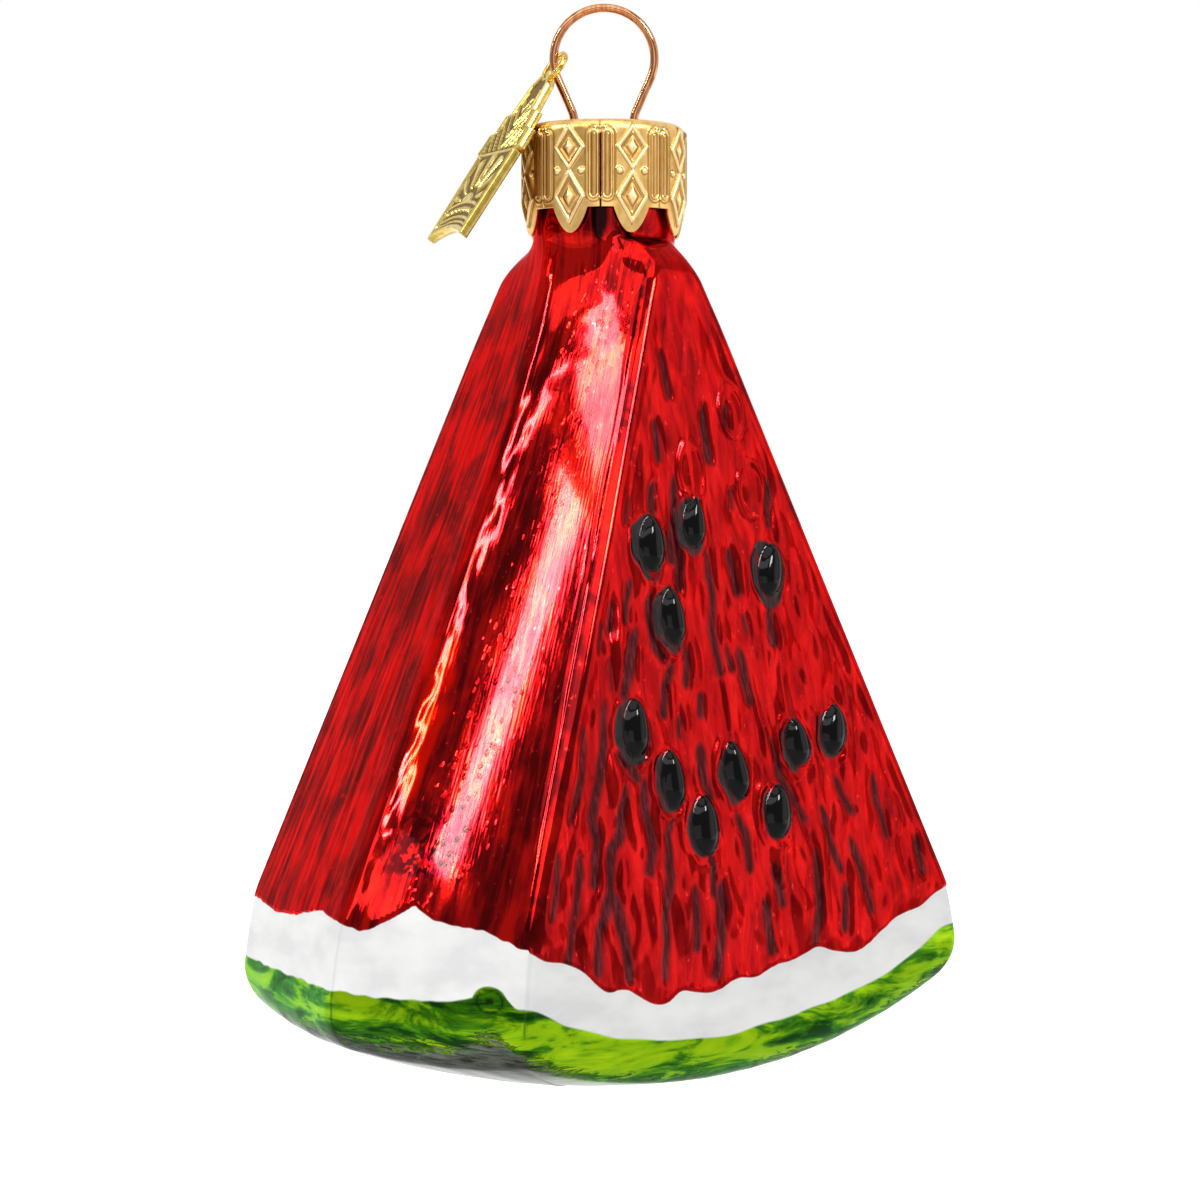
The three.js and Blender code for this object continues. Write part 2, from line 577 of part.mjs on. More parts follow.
const ornament = new THREE.Group();
ornament.add(glassBody(), hanger);

export default ornament;
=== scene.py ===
"""Looks of the blown glass watermelon slice ornament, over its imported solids."""
import math

import bmesh
import bpy
import numpy as np
from mathutils import Matrix, Vector


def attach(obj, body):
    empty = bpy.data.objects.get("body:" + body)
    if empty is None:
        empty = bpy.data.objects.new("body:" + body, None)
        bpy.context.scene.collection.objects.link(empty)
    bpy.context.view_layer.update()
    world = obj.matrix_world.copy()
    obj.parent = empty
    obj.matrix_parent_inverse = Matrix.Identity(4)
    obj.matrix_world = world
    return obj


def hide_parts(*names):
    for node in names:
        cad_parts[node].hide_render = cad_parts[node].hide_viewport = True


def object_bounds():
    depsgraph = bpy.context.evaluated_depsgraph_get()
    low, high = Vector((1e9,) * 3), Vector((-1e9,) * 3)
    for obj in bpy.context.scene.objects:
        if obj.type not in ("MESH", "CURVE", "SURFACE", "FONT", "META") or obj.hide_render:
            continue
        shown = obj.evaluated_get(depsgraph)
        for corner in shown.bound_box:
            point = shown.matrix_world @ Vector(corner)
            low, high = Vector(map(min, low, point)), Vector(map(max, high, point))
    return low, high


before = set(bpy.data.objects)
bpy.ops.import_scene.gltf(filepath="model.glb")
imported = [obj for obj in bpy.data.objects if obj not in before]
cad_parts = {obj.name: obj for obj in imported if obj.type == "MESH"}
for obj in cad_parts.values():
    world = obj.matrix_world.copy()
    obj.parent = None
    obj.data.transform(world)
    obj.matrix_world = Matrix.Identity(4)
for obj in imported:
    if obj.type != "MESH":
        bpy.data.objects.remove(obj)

CAD_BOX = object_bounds()
MM = 0.001

# Sizes in millimetres, those of the solids but for the sharper edges and the sides' bulge

# Hanger wire
WIRE_RADIUS = 0.4
LOOP_RADIUS = 4.67
LOOP_HEIGHT = 10.5
LEG_SPACING = 5.5
LEG_BEND_HEIGHT = 0.9
LEG_BEND_SETBACK = 0.65
LOOP_TRAVEL = 6.0
LEG_LENGTH = 26.0
LEG_SPREAD = 4.8
LEG_TIP_LENGTH = 2.5
LEG_TIP_CURL = 1.2
HANGER_TURN = math.radians(-41.3)
RUNNING_GAP = 0.3
LOOP_CENTRE_Z = WIRE_RADIUS - LOOP_RADIUS
# The wire's rounded ends: share of its radius and way beyond the end of its centre line
WIRE_ENDS = [(0.93, 0.084), (0.62, 0.18), (0.02, 0.24)]

# Cap
SHEET = 0.35
TEETH = 8
TEETH_TURN = math.radians(20)
CAP_TOP_Z = -LOOP_HEIGHT
CAP_RADIUS = 7.5
CAP_SHOULDER_RADIUS = 0.95
VALLEY_Z = -18.5
TOOTH_DROP = 2.3
TOOTH_FULLNESS = 0.8
TOOTH_BEND = 0.25
BEND_Z = VALLEY_Z + 0.4
VALLEY_WIDTH = 2.5
SLIT_OPEN = 0.14
SLIT_TOP_Z = -11.75
# Embossing of each tooth: middle and half heights of its diamonds, then its dots and ribs
DIAMONDS = [(-13.12, 2.1), (-17.56, 2.5)]
DIAMOND_HALF_WIDTH = 1.5
DOT_ASIDE, DOT_Z = 1.2, -15.25
RIB_TO_SLIT, RIB_LOW_Z, RIB_TOP_Z = 0.62, -17.3, -12.0
# The notch that ends each slit: its height, half width and half height
NOTCH_Z, NOTCH_HALF_WIDTH, NOTCH_HALF_HEIGHT = -11.55, 0.3, 0.12

# Glass. The two sizes of a pair are those at the shoulder and where the flesh meets the rind.
GLASS_WALL = 0.9
NECK_RADIUS = 6.6
MOUTH_Z = -11.15
NECK_END_Z = -21.05
SHOULDER_Z = -25.55
LOWEST_Z = -98.35
RIND_Z = -82.55
RIND_FLARE = 0.35
RIND_BEND = 2.2
SIDE_BULGE_RADIUS = 300.0
SHOULDER_SWELL = 2.5
FACE_WIDTH = (6.6, 52.3)
BACK_WIDTH = (9.6, 52.3)
THICKNESS = (20.4, 40.7)
RIDGE_WIDTH = (11.4, 62.0)
RIND_LOW_X = -2.5
RIND_RISE_TO_SIDES = 5.0
RIND_RISE_TO_FACES = 2.6
EDGE_RADIUS = 1.4
RIDGE_RADIUS = 4.0
RIM_RADIUS = 3.3
# The small ring mark on the rind: its height, its share of the middle facet's width from the
# right, and its width against its height
MARK_Z, MARK_SHARE, MARK_WIDE = -86.6, 0.18, 1.45
# The dark drip down the neck: angle round it, where its end begins, half width, length of the end
DRIP_ANGLE, DRIP_Z, DRIP_HALF_WIDTH, DRIP_LENGTH = -2.36, -19.2, 0.75, 2.3
# Depth inside a painted shape that stands for well outside all of them
FAR_OUTSIDE = -9.0
# Widths in which the facets' relief and paint are counted
RELIEF_FACET, PAINT_FACET = 21.0, 18.0
# Room left between the visual glass and the solids' box
BOX_MARGIN = 0.02

# Tag
TAG_THICKNESS = 0.85
TAG_REST_GAP = 0.2
EYE_RADIUS = 1.75
EYE_HOLE_RADIUS = 1.25
EYE_THICKNESS = 0.6
TAG_ON_LOOP = math.radians(10)
TAG_TURN = math.radians(25)
TAG_LENGTH = 19.4
TAG_WIDTH = 8.0
TAG_ARCH = 0.9
# Where the plate starts below the eye's centre, its half width there, and the middle of its rays
TAG_TOP, TAG_TOP_HALF = 1.2, 0.85
RAYS_FROM = 15.6
# The tag's outline below its eye: half width and depth at each step
TAG_STEPS = [
    (1.9, 2.25), (2.5, 5.35), (3.5, 5.5), (3.7, 7.4), (4.7, 7.6), (4.9, 9.7), (4.3, 10),
]

# Seeds on the front face: x, z, half width, half length, lean in degrees, strength of the smudge
SEEDS = [
    (-7.0, -48.7, 1.4, 2.5, -4, 1.0), (-1.6, -47.0, 1.25, 2.3, -6, 0.8),
    (7.2, -51.4, 1.4, 2.5, -14, 1.0), (-5.5, -55.2, 1.25, 2.5, 2, 0.9),
    (-11.4, -64.6, 1.35, 2.6, -5, 0.9), (-7.8, -69.2, 1.25, 2.6, 2, 0.6),
    (-4.6, -73.5, 1.5, 2.7, -3, 0.35), (-0.1, -69.0, 1.35, 2.7, 8, 0.5),
    (7.9, -67.0, 1.4, 2.3, 8, 0.4), (12.8, -66.2, 1.45, 2.4, -12, 0.3),
    (4.5, -73.0, 1.5, 2.5, -8, 0.15),
]
# Moulded ovals that carry no enamel: x, z, half width, half length
OVALS = [(4.6, -37.0, 1.5, 2.4), (5.8, -44.1, 1.6, 2.6), (-1.3, -42.5, 1.5, 2.6)]
# Dark strokes in the grooves of the front face: half width, then x, z, x, z down the stroke
STROKES = [
    (0.4, -3.3, -31.7, -3.0, -33.8, -2.9, -35.7), (0.7, 1.1, -36.4, 0.9, -38.9, 1.1, -41.4),
    (0.6, 3.9, -36.4, 3.7, -38.3), (0.6, -4.8, -37.8, -4.9, -39.7, -4.9, -41.2),
    (0.9, -3.4, -43.0, -4.8, -50.1), (0.6, 8.1, -43.1, 7.7, -47.3), (0.7, -6.0, -43.4, -6.7, -45.8),
    (0.4, 3.4, -44.0, 3.2, -45.6), (0.4, -9.0, -44.7, -9.7, -46.7), (0.8, -3.9, -47.9, -4.3, -52.6),
    (0.7, 2.3, -49.5, 2.6, -53.4), (0.7, -0.6, -49.6, -0.4, -53.3, -1.0, -56.8, -0.6, -60.3),
    (0.6, -10.1, -51.8, -10.5, -53.0, -11.2, -55.2),
    (0.8, -7.8, -53.1, -8.3, -55.1, -8.1, -57.7, -7.3, -58.7), (0.4, -12.5, -53.8, -13.0, -56.3),
    (0.7, 6.5, -54.0, 6.5, -58.0), (0.4, 3.0, -55.3, 3.3, -57.0), (0.4, -14.0, -55.4, -14.4, -57.7),
    (1.0, -10.0, -56.1, -10.7, -57.8, -11.7, -60.4, -12.3, -61.7), (0.6, -4.2, -57.8, -4.8, -61.1),
    (0.4, 0.6, -58.0, 0.9, -60.1), (0.8, 2.2, -58.4, 2.1, -60.8, 2.7, -63.1),
    (0.3, -13.4, -58.6, -13.7, -61.1), (0.8, -6.2, -59.2, -7.3, -61.1, -7.9, -63.6),
    (0.6, -14.6, -62.0, -15.5, -66.6), (0.6, -3.1, -62.0, -3.7, -63.9),
    (0.6, -6.0, -64.0, -6.4, -65.5), (0.4, -17.4, -64.3, -17.6, -66.5),
    (0.6, -17.5, -65.2, -18.0, -68.0, -19.3, -70.8, -19.9, -71.9),
    (0.9, -15.1, -65.3, -16.3, -68.9, -17.6, -71.7, -17.3, -73.8, -18.2, -77.3),
    (0.9, -3.9, -66.5, -4.3, -69.0, -3.6, -71.0), (0.8, -13.7, -66.6, -11.9, -68.9),
    (0.7, 4.8, -66.6, 5.1, -69.7, 7.7, -74.0),
    (0.9, -11.1, -69.1, -11.5, -71.9, -11.0, -75.0, -11.7, -76.8),
    (1.0, -13.5, -69.5, -14.5, -73.5, -15.7, -74.6, -16.5, -78.2, -18.1, -81.2, -18.6, -84.7),
    (0.7, 12.3, -70.5, 12.9, -72.3, 13.8, -73.7), (0.7, 17.3, -70.6, 17.3, -72.9, 18.1, -76.3),
    (0.8, -8.4, -72.7, -9.2, -74.0, -9.3, -77.5, -10.4, -80.3, -11.1, -86.0),
    (0.7, -0.6, -72.7, 0.1, -75.1, 0.1, -77.7), (0.7, 10.0, -73.1, 10.5, -75.6, 11.5, -78.8),
    (0.6, -21.9, -74.6, -22.2, -77.1, -23.2, -79.8),
    (0.7, -19.3, -74.8, -20.4, -79.2, -22.0, -83.6),
    (0.7, -4.5, -76.1, -4.4, -79.4), (0.8, 13.5, -76.2, 14.3, -79.4, 15.0, -82.8),
    (0.7, 22.0, -76.6, 22.3, -80.1), (0.9, 8.5, -76.7, 8.5, -80.7, 7.5, -84.8),
    (0.8, 3.1, -77.7, 3.4, -79.6, 3.8, -81.1), (1.0, -15.9, -78.3, -15.6, -81.5, -15.1, -85.5),
    (0.9, -6.7, -78.6, -6.8, -81.2, -7.2, -83.8), (1.1, -3.4, -78.6, -4.1, -82.7, -4.8, -86.4),
    (0.8, 11.9, -80.2, 11.4, -84.0), (1.0, 1.5, -80.6, 1.5, -83.0, 1.8, -85.1),
]
# Where the paint changes, round the slice: round coordinate and z. The coordinate counts the
# upright edges, from 0 at the left edge of the front face, by way of its right edge at 1.
FLESH_BORDER = [
    (0.0, -82.2), (0.02, -82.9), (0.04, -83.2), (0.08, -83.7), (0.12, -84.4), (0.14, -85.5),
    (0.17, -86.7), (0.20, -86.4), (0.27, -88.2), (0.30, -88.3), (0.33, -87.4), (0.38, -88.0),
    (0.415, -87.9), (0.455, -87.1), (0.50, -87.4), (0.547, -86.5), (0.607, -86.2), (0.652, -85.4),
    (0.686, -86.1), (0.746, -86.5), (0.79, -85.2), (0.84, -83.9), (0.921, -83.1), (0.972, -81.9),
    (1.0, -81.6), (1.2, -82.6), (1.45, -81.3), (1.7, -82.5), (2.0, -81.6), (2.25, -82.5),
    (2.5, -81.2), (2.8, -82.6), (3.0, -81.8), (3.1, -83.5), (3.22, -85.6), (3.35, -86.2),
    (3.48, -87.4), (3.6, -86.6), (3.7, -87.6), (3.82, -86.0), (3.92, -84.4), (4.0, -82.2),
    (4.105, -82.1), (4.32, -82.7), (4.53, -82.4), (4.785, -81.3), (5.0, -81.8), (5.12, -82.2),
    (5.23, -81.4), (5.37, -79.7), (5.495, -80.6), (5.62, -80.9), (5.75, -80.9), (5.865, -81.6),
    (6.0, -82.2),
]
RIND_BORDER = [
    (0.0, -86.9), (0.034, -87.1), (0.06, -88.4), (0.133, -89.7), (0.18, -90.3), (0.308, -91.6),
    (0.445, -92.0), (0.59, -91.1), (0.743, -89.8), (0.823, -88.7), (0.906, -87.0), (0.968, -85.1),
    (1.0, -85.3), (1.3, -86.8), (1.6, -87.6), (2.0, -87.0), (2.4, -87.9), (2.7, -87.2),
    (3.0, -86.4), (3.15, -88.6), (3.4, -91.0), (3.6, -91.7), (3.8, -90.0), (4.0, -87.6),
    (4.09, -87.5), (4.285, -87.7), (5.025, -87.5), (5.265, -87.5), (5.495, -87.4), (5.67, -86.9),
    (5.82, -85.7), (5.9, -85.9), (5.95, -87.0), (6.0, -86.9),
]
# Left border of the bright reflection on the middle facet: depth and share of the facet's width
GLOSS_EDGE = [
    (28, 0.42), (32, 0.63), (36, 0.66), (40, 0.62), (46, 0.56), (50, 0.51), (54, 0.49), (57, 0.46),
    (62, 0.41), (67, 0.39), (75, 0.42),
]
# Steps of the grids. For the glass: over each side, an edge and a ridge, then rows of the neck,
# shoulder, wall, rim and underside
OUTSIDE_STEPS = ([190, 60, 60, 110, 96, 96], 10, 8)
OUTSIDE_ROWS = (14, 22, 236, 14, 30)
INSIDE_STEPS = ([14, 8, 8, 14, 8, 8], 3, 3)
INSIDE_ROWS = (6, 6, 16, 4, 8)
# Rounds in which the rim's height settles
SETTLING = 6
TOOTH_COLUMNS, SKIRT_ROWS, CAP_SHOULDER_ROWS, HOLE_STEPS = 72, 91, 11, 28
WIRE_SIDES = 20
TAG_ROWS, TAG_COLUMNS, EYE_STEPS, EYE_SIDES = 150, 75, 56, 16


def noise(x, y, seed):
    """Smooth noise in cells of size 1, from about -0.7 to 0.7."""
    count = 64
    angle = np.random.default_rng(seed).uniform(0, 2 * np.pi, (count, count))
    x0, y0 = np.floor(x).astype(int), np.floor(y).astype(int)
    fx, fy = x - x0, y - y0

    def corner(i, j):
        turn = angle[(x0 + i) % count, (y0 + j) % count]
        return np.cos(turn) * (fx - i) + np.sin(turn) * (fy - j)

    sx = fx * fx * fx * (fx * (fx * 6 - 15) + 10)
    sy = fy * fy * fy * (fy * (fy * 6 - 15) + 10)
    low = corner(0, 0) * (1 - sx) + corner(1, 0) * sx
    high = corner(0, 1) * (1 - sx) + corner(1, 1) * sx
    return low * (1 - sy) + high * sy


def smooth(value, low, high):
    """Rises smoothly from 0 at low to 1 at high."""
    t = np.clip((value - low) / (high - low), 0, 1)
    return t * t * (3 - 2 * t)


def band(value, start, full, leaving, end):
    """Rises smoothly from 0 at start to 1 at full, and falls from 1 at leaving to 0 at end."""
    return smooth(value, start, full) * smooth(value, end, leaving)


def bump(value, middle, width):
    """A bell, 1 high at its middle."""
    return np.exp(-(((value - middle) / width) ** 2))


def add_object(name, data):
    piece = bpy.data.objects.new(name, data)
    bpy.context.scene.collection.objects.link(piece)
    return piece


def mesh_object(name, points, faces, body, material, node):
    """A smooth mesh of points in millimetres that stands for a CAD node and rides on its body."""
    mesh = bpy.data.meshes.new(name)
    mesh.from_pydata((np.asarray(points) * MM).tolist(), [], faces)
    mesh.update()
    mesh.shade_smooth()
    piece = add_object(name, mesh)
    mesh.materials.append(material)
    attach(piece, body)
    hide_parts(node)
    return piece


def add_field(piece, name, values):
    """Stores one number a point, for the material."""
    field = piece.data.attributes.new(name, "FLOAT", "POINT")
    field.data.foreach_set("value", np.asarray(values, np.float32).ravel())


def grid_faces(rows, columns):
    """Faces between rows of points that run round."""
    row = np.arange(rows - 1)[:, None] * columns
    here = np.arange(columns)[None, :]
    there = (here + 1) % columns
    faces = np.stack([row + here, row + columns + here, row + columns + there, row + there], -1)
    return faces.reshape(-1, 4).tolist()


def unit(vectors):
    return vectors / np.linalg.norm(vectors, axis=-1, keepdims=True)


def rotate(vectors, angle):
    """X and Y of vectors turned about Z."""
    c, s = np.cos(angle), np.sin(angle)
    x, y = vectors[..., 0], vectors[..., 1]
    return np.stack([x * c - y * s, x * s + y * c], -1)


def turned(points, angle):
    """Points turned about Z."""
    points = np.asarray(points, float)
    return np.concatenate([rotate(points, angle), points[..., 2:]], -1)


# Glass

def slice_sizes(z):
    """Half widths of the slice's six-sided section at each height."""
    below = RIND_Z - z
    bent = np.where(
        below > RIND_BEND, below,
        np.where(below < -RIND_BEND, 0, (below + RIND_BEND) ** 2 / (4 * RIND_BEND)),
    )
    on_wall = z + bent * (1 - RIND_FLARE)
    down = (SHOULDER_Z - on_wall) / (SHOULDER_Z - RIND_Z)

    def half(ends):
        return (ends[0] + (ends[1] - ends[0]) * down) / 2

    ridge = (half(RIDGE_WIDTH) ** 4 + NECK_RADIUS ** 4) ** 0.25
    return half(FACE_WIDTH), half(BACK_WIDTH), half(THICKNESS), ridge


def slice_corner(k, z, inset):
    """Corner k of the section, moved in by inset, as x, y and the radius there."""
    front, back, thick, ridge = slice_sizes(z)

    def inset_face(face):
        return face - inset * (np.hypot(ridge - face, thick) - ridge + face) / thick

    front_in, back_in, thick_in = inset_face(front), inset_face(back), thick - inset
    ridge_in = ridge - inset * np.hypot(ridge - front, thick) / thick
    places = [
        (-front_in, -thick_in), (front_in, -thick_in), (ridge_in, 0 * ridge_in),
        (back_in, thick_in), (-back_in, thick_in), (-ridge_in, 0 * ridge_in),
    ]
    radius = RIDGE_RADIUS if k % 3 == 2 else EDGE_RADIUS
    return np.stack(places[k], -1), radius - inset


def slice_arc(k, z, inset):
    """Where corner k's rounding starts, its centre and its turn."""
    at, radius = slice_corner(k, z, inset)
    before, _ = slice_corner((k - 1) % 6, z, inset)
    after, _ = slice_corner((k + 1) % 6, z, inset)
    inward, outward = unit(at - before), unit(after - at)
    cross = inward[..., 0] * outward[..., 1] - inward[..., 1] * outward[..., 0]
    turn = np.arctan2(cross, np.sum(inward * outward, -1))
    start = at - inward * (radius * np.tan(turn / 2))[..., None]
    normal = np.stack([-inward[..., 1], inward[..., 0]], -1)
    return start, start + normal * radius, turn


def slice_outline(corner, along, z, inset=0.0):
    """Points of the section: along is 0 to 1 over a corner's rounding, 1 to 2 to the next."""
    points = np.empty(z.shape + (2,))
    for k in range(6):
        pick = corner == k
        here = z[:, pick]
        start, centre, turn = slice_arc(k, here, inset)
        next_start, _, _ = slice_arc((k + 1) % 6, here, inset)
        share = along[pick][None, :]
        on_arc = centre + rotate(start - centre, turn * np.minimum(share, 1))
        on_side = on_arc + (next_start - on_arc) * np.maximum(share - 1, 0)[..., None]
        points[:, pick] = on_side
    return points


def body_outline(corner, along, z, inset=0.0):
    """The section at each height, turning from the round neck into the slice."""
    section = slice_outline(corner, along, np.minimum(z, NECK_END_Z), inset)
    spokes = slice_outline(corner, along, np.full((1, len(corner)), SHOULDER_Z), inset)
    on_neck = unit(spokes) * (NECK_RADIUS - inset)
    left = np.clip((z - SHOULDER_Z) / (NECK_END_Z - SHOULDER_Z), 0, 1)
    blend = (1 - left ** SHOULDER_SWELL)[..., None]
    return on_neck * (1 - blend) + section * blend


def rind_z(points, inset):
    """Height of the rind's underside."""
    across = (points[..., 0] - RIND_LOW_X) / (FACE_WIDTH[1] / 2)
    through = points[..., 1] / (THICKNESS[1] / 2)
    rise = RIND_RISE_TO_SIDES * across ** 2 + RIND_RISE_TO_FACES * through ** 2
    return LOWEST_Z + inset + rise


def glass_columns(side_steps, edge_steps, ridge_steps):
    """Corner and place along of each column of points, round the section."""
    corner, along = [], []
    for k in range(6):
        steps = ridge_steps if k % 3 == 2 else edge_steps
        places = list(np.arange(steps) / steps) + list(1 + np.arange(side_steps[k]) / side_steps[k])
        corner += [k] * len(places)
        along += places
    return np.array(corner), np.array(along)


def glass_skin(corner, along, inset, heights, wall_steps, rim_steps, under_steps):
    """Rows of points from the mouth down over the wall and the rim to the underside's middle."""
    count = len(corner)
    fixed = np.repeat(heights[:, None], count, 1)
    rows = [np.dstack([body_outline(corner, along, fixed, inset), fixed])]
    rim_z = np.full((1, count), RIND_Z)
    for _ in range(SETTLING):
        rim_z = rind_z(body_outline(corner, along, rim_z, inset), inset)
    radius = RIM_RADIUS - inset
    share = (np.arange(1, wall_steps + 1) / wall_steps)[:, None]
    z = SHOULDER_Z + (rim_z + radius - SHOULDER_Z) * share
    rows.append(np.dstack([body_outline(corner, along, z, inset), z]))
    angle = (np.pi / 2 * np.arange(1, rim_steps + 1) / rim_steps)[:, None]
    up = radius * (1 - np.sin(angle))
    points = body_outline(corner, along, rim_z + up, inset)
    length = np.linalg.norm(points, axis=-1, keepdims=True)
    points = points * (1 - (radius * (1 - np.cos(angle)))[..., None] / length)
    rows.append(np.dstack([points, rind_z(points, inset) + up]))
    share = (1 - np.arange(1, under_steps + 1) / under_steps)[:, None, None]
    points = points[-1:] * share
    rows.append(np.dstack([points, rind_z(points, inset)]))
    return np.concatenate(rows)


def row_normals(points):
    """Outward normals of a grid of points whose rows run round, from the top down."""
    round_step = np.roll(points, -1, 1) - np.roll(points, 1, 1)
    down_step = np.gradient(points, axis=0)
    normals = np.cross(down_step, round_step)
    length = np.linalg.norm(normals, axis=-1, keepdims=True)
    return normals / np.maximum(length, 1e-9)


def round_place(points, corner, along):
    """Coordinate round the slice, whole at the upright edges, counted from the front left."""
    z = np.minimum(points[..., 2], SHOULDER_Z)
    place = np.empty(z.shape)
    for k in range(6):
        for late in (False, True):
            pick = (corner == k) & ((along >= 0.5) == late)
            first = k if late else (k - 1) % 6
            here = z[:, pick]
            start, _ = slice_corner(first, here, 0.0)
            end, _ = slice_corner((first + 1) % 6, here, 0.0)
            line = end - start
            reach = points[:, pick, :2] - start
            share = np.sum(reach * line, -1) / np.sum(line * line, -1)
            place[:, pick] = first + np.clip(share, 0, 1)
    return place


def stroke_field(x, z):
    """Millimetres inside the nearest dark stroke, negative outside."""
    best = np.full(x.shape, FAR_OUTSIDE)
    bent = x + 0.3 * noise(x / 2.5, z / 2.8, 31)
    for half_width, *flat in STROKES:
        line = list(zip(flat[::2], flat[1::2]))
        lengths = [math.dist(p, q) for p, q in zip(line, line[1:])]
        passed = 0.0
        for (x0, z0), (x1, z1), length in zip(line, line[1:], lengths):
            share = ((bent - x0) * (x1 - x0) + (z - z0) * (z1 - z0)) / length ** 2
            share = np.clip(share, 0, 1)
            away = np.hypot(bent - x0 - share * (x1 - x0), z - z0 - share * (z1 - z0))
            down = (passed + share * length) / sum(lengths)
            taper = 0.25 + 0.75 * np.clip(5 * down * (1.25 - down), 0, 1) ** 0.6
            best = np.maximum(best, half_width * 0.56 * taper - away)
            passed += length
    return best + 0.14 * noise(x / 0.8, z / 2.2, 32)


def almond(x, z, place):
    """Shares across and along a seed's shape, its half width there and each point's way aside."""
    x0, z0, half_width, half_length, lean, _ = place
    c, s = math.cos(math.radians(lean)), math.sin(math.radians(lean))
    dx, dz = (x - x0) * c + (z - z0) * s, -(x - x0) * s + (z - z0) * c
    up = np.clip(dz / half_length, -1, 1)
    wide = half_width * np.maximum((1 - up) ** 0.72 * (1 + up) ** 0.55, 1e-3) * 1.04
    return np.abs(dx) / wide, dz / half_length, wide, dx


def face_relief(x, z):
    """Relief of a seeded face in millimetres, and the fields that its enamel follows."""
    lower = smooth(-z, 34, 66)
    warp = 1.5 * noise(x / 6, z / 12, 3)
    fibres = np.sqrt(noise((x + warp) / 2.7, z / 9.5, 4) ** 2 + 0.004)
    fibres += 0.25 * np.sqrt(noise((x + warp) / 1.3, z / 4.2, 5) ** 2 + 0.004)
    swell = noise(x / 2.6, z / 4.6, 6)
    relief = (fibres - 0.35) * (0.12 + 0.46 * lower) + swell * (0.20 + 0.24 * lower)
    strokes = stroke_field(x, z)
    relief -= 0.2 * smooth(strokes, -0.6, 0.4)
    seeds = np.full(x.shape, FAR_OUTSIDE)
    halos = np.full(x.shape, FAR_OUTSIDE)
    for place in SEEDS:
        x0, z0, half_width, half_length, _, smudge = place
        across, up, wide, dx = almond(x, z, place)
        inside = np.clip(1 - across ** 2, 0, 1) * (np.abs(up) < 1)
        height = 0.9 * inside ** 0.7 * np.clip(1 - np.abs(up) ** 4, 0, 1)
        aside = x - x0 + 0.55 + 0.5 * noise(x / 1.7, z / 1.9, 33)
        below = z - z0 + 0.35 + 0.5 * noise(x / 1.6, z / 1.8, 34)
        near = np.hypot(aside / (half_width + 0.6), below / (half_length + 0.45))
        cup = smooth(near, 1.05, 0.75)
        relief = relief * (1 - cup) + cup * -0.1 + 0.11 * bump(near, 1.04, 0.1)
        relief = np.maximum(relief, height * (inside > 0) - 0.15)
        seeds = np.maximum(seeds, np.where(np.abs(up) < 1, wide - np.abs(dx), -1))
        halos = np.maximum(halos, (0.70 + 0.32 * smudge - near) * half_width)
    for x0, z0, half_width, half_length in OVALS:
        near = np.hypot((x - x0) / half_width, (z - z0) / half_length)
        relief += 0.2 * bump(near, 1, 0.13) + 0.22 * np.clip(1 - near ** 2, 0, 1)
    return relief, {"stroke": strokes, "seed": seeds, "halo": halos}


def border(place, points, soften):
    """Height of a paint border round the slice, its corners rounded over soften."""
    shifts = soften * np.linspace(-1, 1, 7)
    return sum(np.interp((place + d) % 6, *zip(*points)) for d in shifts) / len(shifts)


def side_relief(across, z, streaked):
    """Relief of a side facet in millimetres: across is in millimetres along it."""
    waves = 0.006 * noise(across / 9.5, z / 13, 11) + 0.0012 * noise(across / 2.6, z / 3.2, 12)
    dimples = 0.0005 * noise(across / 1.1, z / 1.3, 13) * (0.5 + 2.5 * smooth(-z, 60, 76))
    lines = noise(across / 0.9, z / 9.5, 14) + 0.5 * noise(across / 0.5, z / 6, 15)
    streaks = 0.06 * lines * smooth(-z, 32, 60) * streaked
    return waves + dimples + streaks


def middle_facet_fields(part, z):
    """Dark crust, droplets and the painted orange glow of the middle facet, by share across it and
    height.
    """
    crust = band(-z, 68, 75, 77.1, 77.6) * band(part, 0.02, 0.25, 0.4, 0.75)
    left = band(np.interp(-z, *zip(*GLOSS_EDGE)) - part, -0.12, -0.02, 0.06, 0.2)
    top = smooth(z, -34, -31) * band(part, 0.2, 0.35, 0.85, 0.98)
    low = band(-z, 57, 62, 75, 78) * band(part, 0.33, 0.4, 0.6, 0.72)
    # Painted glow: an orange-red patch near the crease where light reflected inside the glass
    # shows; the strip lamp's real reflection lights it
    gilt = bump(part, 0.14, 0.09) * bump(z, -64, 7) * (0.8 + noise(part * 9, z / 3, 29))
    return crust, np.maximum.reduce([left, top, 2.5 * low]), gilt


